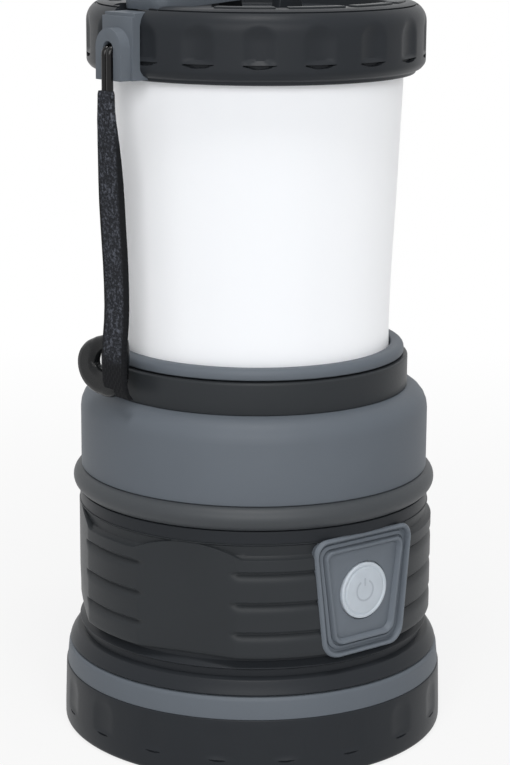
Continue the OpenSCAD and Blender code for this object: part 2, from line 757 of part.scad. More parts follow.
module hang_loop() color(abs_grey) difference() {
    at_az(strap_az) translate([0, 0, loop_pivot_z]) rotate([loop_drop, 0, 0]) {
        translate([0, 0, -loop_t / 2]) linear_extrude(loop_t) difference() {
            loop_outline(loop_half0, loop_half1, 0, loop_len, loop_corner);
            loop_outline(loop_in0, loop_in1, loop_slot0, loop_len - loop_bar, loop_slot_corner);
        }
        translate([-loop_half0, 0, 0]) rotate([0, 90, 0]) cylinder(r = loop_knuckle, h = 2 * loop_half0);
    }
    cross_bar(strap_az, 0, loop_pivot_z, loop_pin_r + running, loop_half0 + 1);
}

// Tapered outline from s0 to s1 outwards, round at its far corners
module loop_outline(half0, half1, s0, s1, r) {
    polygon([[-half0, -s0], [half0, -s0], [half1, -s1 + r], [half1 - r, -s1], [-half1 + r, -s1],
        [-half1, -s1 + r]]);
    for (s = [-1, 1]) translate([s * (half1 - r), -s1 + r]) circle(r);
}

// Strap

// Places along one strand: offset outwards, offset upwards and the angle round the pin
function strand_places() = concat([[cord_ring, crimp_z1 - pin_z, 0]],
    [for (a = [0:20:cord_wrap]) [cord_ring * cos(a), cord_ring * sin(a), a]]);

function strand_ring(side, p) = [for (k = [0:cord_sides - 1]) let (f = 360 * k / cord_sides)
    [side + cord_r * sin(f), -pin_r_out - p[0] - cord_r * cos(f) * cos(p[2]),
    pin_z + p[1] + cord_r * cos(f) * sin(p[2])]];

module strand(side) {
    n = cord_sides;
    places = strand_places();
    last = (len(places) - 1) * n;
    walls = [for (i = [0:n:last - n]) for (k = [0:n - 1]) let (a = i + k, b = i + (k + 1) % n)
        each [[a, a + n, b], [b, a + n, b + n]]];
    polyhedron(points = [for (p = places) each strand_ring(side, p)],
        faces = concat(walls, [[for (k = [0:n - 1]) k]], [[for (k = [n - 1:-1:0]) last + k]]));
}

// Two strands side by side, each turned round the pin in the eye
module strap_cord() color([0.08, 0.08, 0.09]) at_az(strap_az)
    for (side = [-cord_side, cord_side]) strand(side);

module strap_crimp() color(rubber_black) at_az(strap_az)
    translate([-crimp_w / 2, -strap_line[0][0] - crimp_t / 2, crimp_z0])
        cube([crimp_w, crimp_t, crimp_z1 - crimp_z0]);

module strap_webbing() color([0.2, 0.2, 0.22]) at_az(strap_az) translate([-strap_w / 2, 0, 0])
    rotate([90, 0, 90]) linear_extrude(strap_w)
        polygon(concat([for (p = strap_line) [-p[0] - strap_t / 2, p[1]]],
            [for (i = [len(strap_line) - 1:-1:0]) [-strap_line[i][0] + strap_t / 2, strap_line[i][1]]]));

function arc(c, r, a0, a1, n) = [for (i = [0:n]) let (a = a0 + (a1 - a0) * i / n) c + r * [cos(a), sin(a)]];

// Soft moulded eye at the end of the webbing, off to one side
module strap_end_loop() color(rubber_black) outwards(strap_az, end_d0, end_d1) difference() {
    end = strap_line[len(strap_line) - 1][1];
    half = strap_w / 2;
    lean = end_hole_tip - end_hole;
    turn = atan2(lean[1], lean[0]);
    side = acos((end_hole_r - end_hole_tip_r) / norm(lean));
    polygon(concat([[half, end], [-half, end]], arc(end_eye, end_eye_r, 62, 266, 24), end_edge));
    polygon(concat(arc(end_hole, end_hole_r, turn + side, turn + 360 - side, 16),
        arc(end_hole_tip, end_hole_tip_r, turn - side, turn + side, 8)));
}

// Foot

module foot_cover() color(abs_black) difference() {
    r = foot_edge;
    union() {
        rotate_extrude() difference() {
            union() {
                polygon([[0, 0], [foot_r - r, 0], [foot_r - r, r], [foot_r, r], [foot_r - 0.3, foot_waist_z],
                    [foot_r - 0.4, foot_h], [0, foot_h]]);
                translate([foot_r - r, r]) circle(r);
            }
            translate([-1, -1]) square([foot_recess_r + 1, foot_recess + 1]);
            translate([-1, foot_recess + foot_floor_t]) square([foot_bore + 1, foot_h]);
        }
        bayonet_lugs(foot_lug_r, foot_bore + 0.5, foot_lug_z0, foot_lug_z1);
        hook_ears();
    }
    flute_cutters(foot_r - 0.2, flute_z0, flute_z1, 180 / flutes);
    hook_axle(hook_pin_r);
}

module hook_ears() {
    t = hook_ear_t;
    r = hook_ear_r;
    for (s = [-1, 1]) translate([s * (hook_ear + t / 2) - t / 2, 0, hook_z]) {
        translate([0, -r, 0]) cube([t, 2 * r, foot_recess - hook_z + eps]);
        rotate([0, 90, 0]) cylinder(r = r, h = t);
    }
}

module foot_ring() color(abs_grey) rotate_extrude()
    polygon([[foot_bore, foot_h], [foot_r - 0.6, foot_h], [foot_r - 1.1, foot_top - 0.6],
        [foot_r - 1.7, foot_top], [foot_bore, foot_top]]);

module hook_axle(r) {
    half = hook_ear + hook_ear_t;
    translate([-half, 0, hook_z]) rotate([0, 90, 0]) cylinder(r = r, h = 2 * half);
}

module hook_pin() color(steel) hook_axle(hook_pin_r);

module base_hook() color(abs_grey) difference() {
    w = hook_arm_half;
    tip = (hook_out - hook_in) / 2;
    union() {
        translate([0, 0, hook_z - hook_t / 2]) linear_extrude(hook_t) {
            translate([-w, -hook_arm]) square([2 * w, hook_arm]);
            translate([hook_out - w, -hook_arm]) difference() {
                circle(hook_out);
                circle(hook_in);
                translate([-2 * hook_out, 0]) square([4 * hook_out, 2 * hook_out]);
            }
            translate([2 * hook_out - w - tip, -hook_arm]) circle(tip);
        }
        translate([-hook_ear + gap, 0, hook_z]) rotate([0, 90, 0])
            cylinder(r = hook_knuckle, h = 2 * (hook_ear - gap));
    }
    hook_axle(hook_pin_r + running);
}

battery_housing();
grip_jacket();
bumper_ring();
shoulder_shell();
collar_band();
button_bezel();
button_plate();
switch_board();
tact_switch();
power_button();
cell_1();
cell_2();
cell_3();
cell_cradle();
upper_contacts();
lower_contacts();
battery_plate();
base_seal();
driver_board();
driver_parts();
heat_sink();
light_board();
light_chips();
light_floor();
floor_screws();
globe_ring();
diffuser();
lid_shell();
rim_pads();
lid_liner();
lid_screws();
reflector_cone();
strap_bracket();
strap_pin();
loop_pin();
hang_loop();
strap_cord();
strap_crimp();
strap_webbing();
strap_end_loop();
foot_cover();
foot_ring();
hook_pin();
base_hook();
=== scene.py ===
"""Looks of a battery camping lantern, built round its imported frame."""

import math

import bmesh
import bpy
from mathutils import Matrix, Vector


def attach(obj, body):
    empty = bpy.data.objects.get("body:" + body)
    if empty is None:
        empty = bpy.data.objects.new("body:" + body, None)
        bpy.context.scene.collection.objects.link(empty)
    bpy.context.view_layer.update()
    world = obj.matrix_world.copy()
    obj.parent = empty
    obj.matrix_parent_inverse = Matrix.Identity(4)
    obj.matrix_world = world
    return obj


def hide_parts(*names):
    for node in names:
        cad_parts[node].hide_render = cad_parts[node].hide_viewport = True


bl_info = {
    "name": "Camping Lantern",
    "version": (1, 0, 0),
    "blender": (4, 5, 0),
    "location": "View3D > Sidebar > Lantern",
    "description": "Builds the moulded, woven and clear pieces of a battery camping lantern",
    "category": "Object",
}

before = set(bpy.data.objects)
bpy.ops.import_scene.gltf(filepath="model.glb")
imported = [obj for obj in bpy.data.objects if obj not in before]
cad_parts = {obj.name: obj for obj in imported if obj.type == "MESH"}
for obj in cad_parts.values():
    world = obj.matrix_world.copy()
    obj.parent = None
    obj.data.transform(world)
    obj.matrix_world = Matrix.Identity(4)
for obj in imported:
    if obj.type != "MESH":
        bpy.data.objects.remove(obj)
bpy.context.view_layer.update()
MM = 0.001

# Azimuths of the strap and of the button, in degrees from the front
STRAP_AZ = -48
BUTTON_AZ = 38

# Levels of the pivots and of the places where pieces meet, then main radii, in millimetres
HOOK_PIVOT = 3.4
FOOT_TOP = 15.4
JACKET_LOW = 29.9
BUTTON_Z = 43.9
JACKET_TOP = 58.2
BEAD_LOW = 61.2
SHOULDER_LOW = 67.2
SHOULDER_TOP = 88
GLOBE_LOW = 97
LID_LOW = 165.4
STRAP_PIN = 171.7
LINER_TOP = 173.4
LOOP_PIVOT = 186.2
TUBE_R = 42
FOOT_IN_R = 44.4
LID_R = 41.3

# The bezel: half widths and heights of its foot and its top, rounding of its corners and the least of it
BEZEL_HALF = (12.25, 15.5)
BEZEL_Z = (28.6, 58.65)
BEZEL_CORNER = 4
CORNER_LEAST = 1.2
# Twice the radius that its front is bent to
BEZEL_BEND = 154

# The webbing's UV: its middle across, and the height that it counts down from
BAND_MIDDLE = 20 * MM
BAND_LEVEL = 200 * MM

# Steps of the spin for each finger scoop
FLUTE_STEPS = 24

# Angle in degrees from which an edge is shaded as sharp
SHARP = 35


def linear(code):
    """An sRGB hex colour as linear red, green and blue."""
    parts = [int(code[i : i + 2], 16) / 255 for i in (1, 3, 5)]
    return tuple(c / 12.92 if c <= 0.04045 else ((c + 0.055) / 1.055) ** 2.4 for c in parts)


class LanternSizes(bpy.types.PropertyGroup):
    """Sizes of the lantern's grips and strap."""

    flutes: bpy.props.IntProperty(
        name="Grip flutes", description="Finger scoops round the lid and round the foot",
        default=18, min=6, max=30
    )
    lid_flute: bpy.props.FloatProperty(
        name="Lid flute depth", description="How far a scoop goes into the lid's wall",
        default=0.85 * MM, unit="LENGTH"
    )
    foot_flute: bpy.props.FloatProperty(
        name="Foot flute depth", description="How far a scoop goes into the foot's wall",
        default=0.3 * MM, unit="LENGTH"
    )
    flute_half: bpy.props.FloatProperty(
        name="Flute half width", description="From a scoop's middle to its edge",
        default=3.9 * MM, unit="LENGTH"
    )
    rib_height: bpy.props.FloatProperty(
        name="Rib height", description="How far the jacket's ribs stand out of its grooves",
        default=1.0 * MM, unit="LENGTH"
    )
    strap_width: bpy.props.FloatProperty(
        name="Strap width", description="Width of the webbing below its sewn end",
        default=8.8 * MM, unit="LENGTH"
    )
    thread: bpy.props.FloatProperty(
        name="Thread spacing", description="From one thread of the webbing to the next",
        default=0.7 * MM, unit="LENGTH"
    )
    turn_steps: bpy.props.IntProperty(
        name="Steps in a turn", description="Faces round a turned piece",
        default=288, min=72, max=720
    )


class LanternColours(bpy.types.PropertyGroup):
    """Colours of the lantern's finishes."""

    grey: bpy.props.FloatVectorProperty(
        name="Grey ABS", description="Shoulder, rings, bracket and bezel",
        subtype="COLOR", size=3, default=linear("#626971")
    )
    black: bpy.props.FloatVectorProperty(
        name="Black ABS", description="Lid, foot and housing",
        subtype="COLOR", size=3, default=linear("#2b2e32")
    )
    rubber: bpy.props.FloatVectorProperty(
        name="Rubber", description="Jacket, bead and collar",
        subtype="COLOR", size=3, default=linear("#313437")
    )
    opal: bpy.props.FloatVectorProperty(
        name="Opal", description="Globe of the lantern",
        subtype="COLOR", size=3, default=linear("#f6f8fb")
    )
    button: bpy.props.FloatVectorProperty(
        name="Button", description="Clear silicone of the power button",
        subtype="COLOR", size=3, default=linear("#c6cfd8")
    )
    webbing: bpy.props.FloatVectorProperty(
        name="Webbing", description="Woven part of the strap",
        subtype="COLOR", size=3, default=linear("#2a2c31")
    )


def sizes():
    return bpy.context.scene.lantern_sizes


def colours():
    return bpy.context.scene.lantern_colours


# Materials


def node(tree, kind, settings=None, sockets=None):
    """Adds a node, makes its settings, and sets or links its sockets."""
    made = tree.nodes.new(kind)
    for key, value in (settings or {}).items():
        setattr(made, key, value)
    for key, value in (sockets or {}).items():
        if isinstance(value, bpy.types.NodeSocket):
            tree.links.new(value, made.inputs[key])
        else:
            made.inputs[key].default_value = value
    return made


def new_material(name):
    """An empty material with its output, and the piece's own coordinates."""
    made = bpy.data.materials.new(name)
    made.use_nodes = True
    made.node_tree.nodes.clear()
    coords = node(made.node_tree, "ShaderNodeTexCoord")
    return made, made.node_tree, coords


def shade(colour, factor):
    return (colour[0] * factor, colour[1] * factor, colour[2] * factor, 1)


def surfaced(made, tree, sockets):
    """Closes a material with one surface and its output."""
    surface = node(tree, "ShaderNodeBsdfPrincipled", None, sockets)
    node(tree, "ShaderNodeOutputMaterial", None, {"Surface": surface.outputs["BSDF"]})
    return made


def moulded(name, colour, rough, grain, height, ior, clouds=0.06):
    """A moulded surface: fine grain from the tool, and faint broad clouds in the colour."""
    made, tree, coords = new_material(name)
    fine = node(tree, "ShaderNodeTexNoise", None,
                {"Vector": coords.outputs["Object"], "Scale": 1 / grain, "Detail": 2.0, "Roughness": 0.55})
    broad = node(tree, "ShaderNodeTexNoise", None,
                 {"Vector": coords.outputs["Object"], "Scale": 1 / (18 * MM), "Detail": 3.0})
    tone = node(tree, "ShaderNodeMix", {"data_type": "RGBA"},
                {"Factor": broad.outputs["Fac"],
                 "A": shade(colour, 1 - clouds), "B": shade(colour, 1 + clouds)})
    gloss = node(tree, "ShaderNodeMapRange", None,
                 {"Value": fine.outputs["Fac"], "To Min": rough - 0.06, "To Max": rough + 0.06})
    bump = node(tree, "ShaderNodeBump", None,
                {"Height": fine.outputs["Fac"], "Strength": 0.6, "Distance": height})
    return surfaced(made, tree, {
        "Base Color": tone.outputs["Result"], "Roughness": gloss.outputs["Result"],
        "Normal": bump.outputs["Normal"], "IOR": ior,
    })


def satin_grey_abs():
    # ABS from a spark-eroded tool: a soft satin grey whose grain breaks up the highlights
    return moulded("satin_grey_abs", colours().grey, 0.52, 0.5 * MM, 0.02 * MM, 1.32)


def pale_grey_abs():
    # The same ABS from a smoother tool: a shade paler, so that the bezel stands out from the jacket
    return moulded("pale_grey_abs", shade(colours().grey, 1.22), 0.5, 0.5 * MM, 0.015 * MM, 1.32)


def satin_black_abs():
    # ABS from a finer tool: near black, a little shinier than the grey
    return moulded("satin_black_abs", colours().black, 0.4, 0.45 * MM, 0.015 * MM, 1.22)


def moulded_rubber():
    # Thermoplastic rubber moulded over the housing: dull, with a dusty bloom in broad clouds
    return moulded("moulded_rubber", colours().rubber, 0.42, 0.6 * MM, 0.02 * MM, 1.24, 0.1)


def bumper_rubber():
    # Rubber of the bead above the jacket: the jacket's colour made a shade paler, with a broader sheen
    return moulded("bumper_rubber", shade(colours().rubber, 1.6), 0.5, 0.6 * MM, 0.02 * MM, 1.4, 0.08)


def polished_rubber():
    # Polished mould for the strap's eye: the same rubber, darker, with a clear highlight
    return moulded("polished_rubber", shade(colours().rubber, 0.25), 0.26, 0.9 * MM, 0.015 * MM, 1.3)


def white_abs():
    # White ABS inside the globe, which only scatters light
    return moulded("white_abs", linear("#eef0f2"), 0.5, 0.5 * MM, 0.02 * MM, 1.53, 0.02)


def opal_polycarbonate():
    # Opal polycarbonate: a very rough diffuse surface, plus a faint painted glow from its emission, so that
    # its sides are hardly darker
    made, tree, coords = new_material("opal_polycarbonate")
    colour = colours().opal
    flow = node(tree, "ShaderNodeMapping", None,
                {"Vector": coords.outputs["Object"], "Scale": (1, 1, 0.06)})
    streak = node(tree, "ShaderNodeTexNoise", None,
                  {"Vector": flow.outputs["Vector"], "Scale": 1 / (9 * MM), "Detail": 2.0})
    tone = node(tree, "ShaderNodeMix", {"data_type": "RGBA"},
                {"Factor": streak.outputs["Fac"], "A": shade(colour, 0.97), "B": shade(colour, 1.0)})
    gloss = node(tree, "ShaderNodeMapRange", None,
                 {"Value": streak.outputs["Fac"], "To Min": 0.34, "To Max": 0.42})
    return surfaced(made, tree, {
        "Base Color": tone.outputs["Result"], "Roughness": gloss.outputs["Result"], "IOR": 1.5,
        # The emission is a painted glow: the globe holds no lit lamp here
        "Diffuse Roughness": 1.0, "Emission Color": (1, 1, 1, 1), "Emission Strength": 0.07,
    })


def button_silicone():
    # Clear silicone over a lamp: pale, cloudy inside, with a soft wet-looking surface
    made, tree, coords = new_material("button_silicone")
    colour = colours().button
    cloud = node(tree, "ShaderNodeTexNoise", None,
                 {"Vector": coords.outputs["Object"], "Scale": 1 / (3 * MM), "Detail": 2.0})
    tone = node(tree, "ShaderNodeMix", {"data_type": "RGBA"},
                {"Factor": cloud.outputs["Fac"], "A": shade(colour, 0.92), "B": shade(colour, 1.08)})
    gloss = node(tree, "ShaderNodeMapRange", None,
                 {"Value": cloud.outputs["Fac"], "To Min": 0.28, "To Max": 0.4})
    return surfaced(made, tree, {
        "Base Color": tone.outputs["Result"], "Roughness": gloss.outputs["Result"], "IOR": 1.41,
        "Subsurface Weight": 0.4, "Subsurface Radius": (1.0, 1.0, 1.0), "Subsurface Scale": 1.5 * MM,
    })


def woven_polyester():
    # Plain weave of thick polyester yarn, drawn twice as coarse as real so that it shows, with paler lint
    made, tree, coords = new_material("woven_polyester")
    colour = colours().webbing
    black = shade(colour, 0.27)
    pitch = sizes().thread
    wide = sizes().strap_width
    place = node(tree, "ShaderNodeMapping", None,
                 {"Vector": coords.outputs["UV"], "Scale": (1 / pitch, 1 / (1.3 * pitch), 1)})
    parts = node(tree, "ShaderNodeSeparateXYZ", None, {"Vector": place.outputs["Vector"]})
    over = node(tree, "ShaderNodeTexChecker", None, {"Vector": place.outputs["Vector"], "Scale": 1.0})
    bulges = []
    for axis in ("X", "Y"):
        turn = node(tree, "ShaderNodeMath", {"operation": "MULTIPLY"}, {0: parts.outputs[axis], 1: math.pi})
        wave = node(tree, "ShaderNodeMath", {"operation": "SINE"}, {0: turn.outputs[0]})
        bulges.append(node(tree, "ShaderNodeMath", {"operation": "ABSOLUTE"}, {0: wave.outputs[0]}))
    yarn = node(tree, "ShaderNodeMix", {"data_type": "FLOAT"},
                {"Factor": over.outputs["Fac"], "A": bulges[0].outputs[0], "B": bulges[1].outputs[0]})
    lint = node(tree, "ShaderNodeTexNoise", None,
                {"Vector": coords.outputs["Object"], "Scale": 1 / (0.8 * MM),
                 "Detail": 3.0, "Roughness": 0.7})
    speck = node(tree, "ShaderNodeMapRange", None,
                 {"Value": lint.outputs["Fac"], "From Min": 0.5, "From Max": 0.64})
    weave = node(tree, "ShaderNodeMix", {"data_type": "RGBA"},
                 {"Factor": yarn.outputs["Result"], "A": shade(colour, 0.4), "B": shade(colour, 1.1)})
    flecked = node(tree, "ShaderNodeMix", {"data_type": "RGBA"},
                   {"Factor": speck.outputs["Result"], "A": weave.outputs["Result"], "B": shade(colour, 4.5)})
    # Painted shade: the band's outer strips, where its rolled edges turn away from the light, are painted
    # near black
    flat = node(tree, "ShaderNodeSeparateXYZ", None, {"Vector": coords.outputs["UV"]})
    across = node(tree, "ShaderNodeMath", {"operation": "SUBTRACT"}, {0: flat.outputs["X"], 1: BAND_MIDDLE})
    away = node(tree, "ShaderNodeMath", {"operation": "ABSOLUTE"}, {0: across.outputs[0]})
    edge_shade = node(tree, "ShaderNodeMapRange", None,
                  {"Value": away.outputs[0], "From Min": 0.32 * wide, "From Max": 0.42 * wide})
    # The lowest end is dipped in rubber, so its flecks fade out in front of the eye
    dipped = node(tree, "ShaderNodeMapRange", None,
                  {"Value": flat.outputs["Y"], "From Min": 98 * MM, "From Max": 102 * MM})
    plain = node(tree, "ShaderNodeMath", {"operation": "MAXIMUM"},
                 {0: edge_shade.outputs["Result"], 1: dipped.outputs["Result"]})
    tone = node(tree, "ShaderNodeMix", {"data_type": "RGBA"},
                {"Factor": plain.outputs[0], "A": flecked.outputs["Result"], "B": black})
    bump = node(tree, "ShaderNodeBump", None,
                {"Height": yarn.outputs["Result"], "Strength": 0.8, "Distance": 0.12 * MM})
    return surfaced(made, tree, {
        "Base Color": tone.outputs["Result"], "Roughness": 0.8, "Normal": bump.outputs["Normal"],
        "IOR": 1.25,
    })


def coated_nylon():
    # Coated nylon cord: black, with the sharp long highlight of a smooth skin
    return moulded("coated_nylon", linear("#0a0a0b"), 0.16, 0.7 * MM, 0.01 * MM, 1.36)


def metal(name, colour, rough, grain):
    """A drawn or rolled metal: grain that varies its gloss and lifts its highlights."""
    made, tree, coords = new_material(name)
    lines = node(tree, "ShaderNodeMapping", None, {"Vector": coords.outputs["Object"], "Scale": (1, 1, 8)})
    fine = node(tree, "ShaderNodeTexNoise", None,
                {"Vector": lines.outputs["Vector"], "Scale": 1 / grain, "Detail": 2.0})
    tone = node(tree, "ShaderNodeMix", {"data_type": "RGBA"},
                {"Factor": fine.outputs["Fac"], "A": shade(colour, 0.9), "B": shade(colour, 1.05)})
    gloss = node(tree, "ShaderNodeMapRange", None,
                 {"Value": fine.outputs["Fac"], "To Min": rough - 0.08, "To Max": rough + 0.08})
    return surfaced(made, tree, {
        "Base Color": tone.outputs["Result"], "Metallic": 1.0, "Roughness": gloss.outputs["Result"],
    })


def drawn_steel():
    # Drawn and plated steel of the pins and screws: bright, with fine lines along the draw
    return metal("drawn_steel", linear("#b9bbbe"), 0.34, 1.2 * MM)


def rolled_brass():
    # Rolled brass of the battery contacts: a warm yellow sheen
    return metal("rolled_brass", linear("#c8aa62"), 0.32, 1.0 * MM)


def cast_aluminium():
    # Cast aluminium of the heat sink: pale and dull
    return metal("cast_aluminium", linear("#c4c6c9"), 0.42, 1.5 * MM)


def silvered_plastic():
    # Vacuum-silvered plastic of the reflector: nearly a mirror
    return metal("silvered_plastic", linear("#dcdee0"), 0.16, 2.5 * MM)


def board_laminate():
    # Glass-fibre laminate under green solder mask: green, with a thin gloss
    return moulded("board_laminate", linear("#1f6038"), 0.38, 0.8 * MM, 0.01 * MM, 1.55)


def component_epoxy():
    # Epoxy bodies of the small parts on the boards: dark and matt
    return moulded("component_epoxy", linear("#333336"), 0.5, 0.5 * MM, 0.01 * MM, 1.55)


def cell_film():
    # Shrink film round a cell: smooth and glossy, the colour of brass
    return moulded("cell_film", linear("#a5813f"), 0.3, 2.0 * MM, 0.01 * MM, 1.5)


def lamp_phosphor():
    # Phosphor gel over the light chips: yellow and smooth
    return moulded("lamp_phosphor", linear("#e9d37a"), 0.3, 0.6 * MM, 0.01 * MM, 1.41)


def button_ink():
    # Grey ink under the silicone, so faint that it shows only close up
    return moulded("button_ink", linear("#b0b9c3"), 0.4, 0.5 * MM, 0.005 * MM, 1.45)


def finish(maker):
    """The material that a maker gives under its own name, made once."""
    return bpy.data.materials.get(maker.__name__) or maker()


# Shapes


def turn_to(azimuth):
    """Turns a piece drawn at the front, where outwards is -Y, to an azimuth."""
    return Matrix.Rotation(math.radians(azimuth), 4, "Z")


def outline_face(bm, corners):
    """A flat face from points and the rounding of each corner."""
    before = set(bm.faces)
    verts = [bm.verts.new(p) for p, _ in corners]
    bm.faces.new(verts)
    for rounding in sorted({r for _, r in corners if r}):
        chosen = [v for v, (_, r) in zip(verts, corners) if r == rounding]
        bmesh.ops.bevel(bm, geom=chosen, offset=rounding * MM, offset_type="OFFSET", affect="VERTICES",
                        segments=6, profile=0.5, material=-1)
    return next(f for f in bm.faces if f not in before)


def turned(outline, steps=None):
    """Spins an outline of radius, height and corner rounding, in millimetres, round the axis."""
    bm = bmesh.new()
    face = outline_face(bm, [((r * MM, 0, z * MM), rounding) for r, z, rounding in outline])
    bmesh.ops.delete(bm, geom=[face], context="FACES_ONLY")
    on_axis = [e for e in bm.edges if all(v.co.x < 1e-9 for v in e.verts)]
    bmesh.ops.delete(bm, geom=on_axis, context="EDGES")
    bmesh.ops.spin(bm, geom=bm.verts[:] + bm.edges[:], cent=(0, 0, 0), axis=(0, 0, 1), dvec=(0, 0, 0),
                   angle=2 * math.pi, steps=steps or sizes().turn_steps, use_merge=True, use_duplicate=False)
    bmesh.ops.remove_doubles(bm, verts=bm.verts, dist=1e-7)
    bmesh.ops.recalc_face_normals(bm, faces=bm.faces)
    return bm


def swept(section, start, angle, steps):
    """Sweeps a section of radius and height round the axis through part of a turn."""
    bm = bmesh.new()
    outline_face(bm, [((r * MM, 0, z * MM), 0) for r, z in section])
    bm.transform(turn_to(start))
    bmesh.ops.spin(bm, geom=bm.faces[:], cent=(0, 0, 0), axis=(0, 0, 1), dvec=(0, 0, 0),
                   angle=math.radians(angle), steps=steps, use_merge=False, use_duplicate=False)
    bmesh.ops.recalc_face_normals(bm, faces=bm.faces)
    return bm


def round_stretch(centre, level, bends):
    """Points of a turned outline round a centre, each at its own angle and reach."""
    return [(centre + reach * math.cos(math.radians(a)), level + reach * math.sin(math.radians(a)), 0)
            for a, reach in bends]


def thickened(bm, faces, way):
    """Gives flat faces a thickness, so that they close into a solid."""
    made = bmesh.ops.extrude_face_region(bm, geom=faces, use_keep_orig=True)
    bmesh.ops.translate(bm, verts=[v for v in made["geom"] if isinstance(v, bmesh.types.BMVert)], vec=way)
    bmesh.ops.recalc_face_normals(bm, faces=bm.faces)


def soften(bm, width, angle=32, keep=None, segments=3):
    """Rounds the edges that are sharper than an angle."""
    limit = math.radians(angle)
    sharp = [e for e in bm.edges
             if len(e.link_faces) == 2 and e.calc_face_angle(0) > limit and (not keep or keep(e))]
    bmesh.ops.bevel(bm, geom=sharp, offset=width, offset_type="OFFSET", affect="EDGES", segments=segments,
                    profile=0.5, material=-1, clamp_overlap=True, loop_slide=True)


def node_copy(name):
    """A merged copy of a CAD node's mesh, its flat faces whole again."""
    bm = bmesh.new()
    bm.from_mesh(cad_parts[name].data)
    bmesh.ops.remove_doubles(bm, verts=bm.verts, dist=1e-6)
    bmesh.ops.dissolve_limit(bm, angle_limit=math.radians(1), verts=bm.verts, edges=bm.edges,
                             delimit={"NORMAL"})
    return bm


def piece(bm, name, maker, body, nodes=(), angle=SHARP):
    """Makes a bmesh the piece that rides on a body and stands for CAD nodes."""
    mesh = bpy.data.meshes.new(name)
    bm.normal_update()
    bm.to_mesh(mesh)
    bm.free()
    if not mesh.polygons:
        raise RuntimeError(f"{name} came out empty")
    mesh.materials.append(finish(maker))
    mesh.polygons.foreach_set("use_smooth", [True] * len(mesh.polygons))
    mesh.set_sharp_from_angle(angle=math.radians(angle))
    made = bpy.data.objects.new(name, mesh)
    bpy.context.scene.collection.objects.link(made)
    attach(made, body)
    if nodes:
        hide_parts(*nodes)
    return made


def cut(target, bm):
    """Cuts a shape out of a piece for good."""
    mesh = bpy.data.meshes.new("cutter")
    bm.to_mesh(mesh)
    bm.free()
    cutter = bpy.data.objects.new("cutter", mesh)
    bpy.context.scene.collection.objects.link(cutter)
    step = target.modifiers.new("cut", "BOOLEAN")
    step.operation = "DIFFERENCE"
    step.solver = "EXACT"
    step.object = cutter
    bpy.context.view_layer.update()
    result = bpy.data.meshes.new_from_object(target.evaluated_get(bpy.context.evaluated_depsgraph_get()))
    target.modifiers.remove(step)
    old, name = target.data, target.data.name
    target.data = result
    bpy.data.meshes.remove(old)
    result.name = name
    result.polygons.foreach_set("use_smooth", [True] * len(result.polygons))
    result.set_sharp_from_angle(angle=math.radians(SHARP))
    bpy.data.objects.remove(cutter)
    bpy.data.meshes.remove(mesh)


def block(low, high):
    """A box between two corners in millimetres."""
    bm = bmesh.new()
    size = [h - l for l, h in zip(low, high)]
    middle = Vector([(l + h) / 2 for l, h in zip(low, high)]) * MM
    stretch = Matrix.Diagonal((*(s * MM for s in size), 1))
    bmesh.ops.create_cube(bm, size=1, matrix=Matrix.Translation(middle) @ stretch)
    return bm


def add_to(bm, other):
    """Adds one bmesh to another and frees it."""
    mesh = bpy.data.meshes.new("part")
    other.to_mesh(mesh)
    other.free()
    bm.from_mesh(mesh)
    bpy.data.meshes.remove(mesh)


def scoop(bm, inner, first, low, high, depth, slot):
    """Presses finger scoops into an outer wall: dishes that end at a crease, with a dark slot under each."""
    step = 360 / sizes().flutes
    half = sizes().flute_half
    reach, tall, deep = (number * MM for number in slot)
    for v in bm.verts:
        r = math.hypot(v.co.x, v.co.y)
        if r < inner * MM:
            continue
        off = (math.degrees(math.atan2(v.co.x, -v.co.y)) - first + step / 2) % step - step / 2
        side = math.radians(off) * r
        above = v.co.z - low * MM
        away = math.hypot(side, max(0, v.co.z - high * MM))
        if above > 0 and away < half:
            v.co.xy *= 1 - min(1, above / MM) * depth * (1 - (away / half) ** 2) ** 1.1 / r
        elif 0 < -above < tall * (1 - (side / reach) ** 2):
            v.co.xy *= 1 - deep / r


def hinge_ear(middle, thick, pivot, radius, foot, half, step, soft):
    """An ear whose round end lies about a pin, and whose flat foot is under or over it."""
    bm = bmesh.new()
    way = 1 if foot < pivot else -1
    x = (middle - thick / 2) * MM
    turns = [math.radians(a) for a in range(0, 181, step)]
    arch = [(x, radius * math.cos(a) * MM, (pivot + way * radius * math.sin(a)) * MM) for a in turns]
    outline_face(bm, [(p, 0) for p in arch + [(x, y * MM, foot * MM) for y in (-half, half)]])
    thickened(bm, bm.faces[:], (thick * MM, 0, 0))
    soften(bm, soft * MM, 50)
    return bm


def bezel_outline(bm, grow, out):
    """The bezel's trapezoid, larger or smaller all round, at a distance from the axis."""
    low, top = (half + grow for half in BEZEL_HALF)
    z0, z1 = BEZEL_Z[0] - grow, BEZEL_Z[1] + grow
    rounding = max(CORNER_LEAST, BEZEL_CORNER + grow / 2)
    corners = ((-low, z0), (low, z0), (top, z1), (-top, z1))
    return outline_face(bm, [((x * MM, -out * MM, z * MM), rounding) for x, z in corners])


def curve_across(bm):
    """Bends the bezel's front gently round the axis, so that its sides lie closer to the jacket."""
    for v in bm.verts:
        v.co.y += v.co.x ** 2 / (BEZEL_BEND * MM)


# Operators


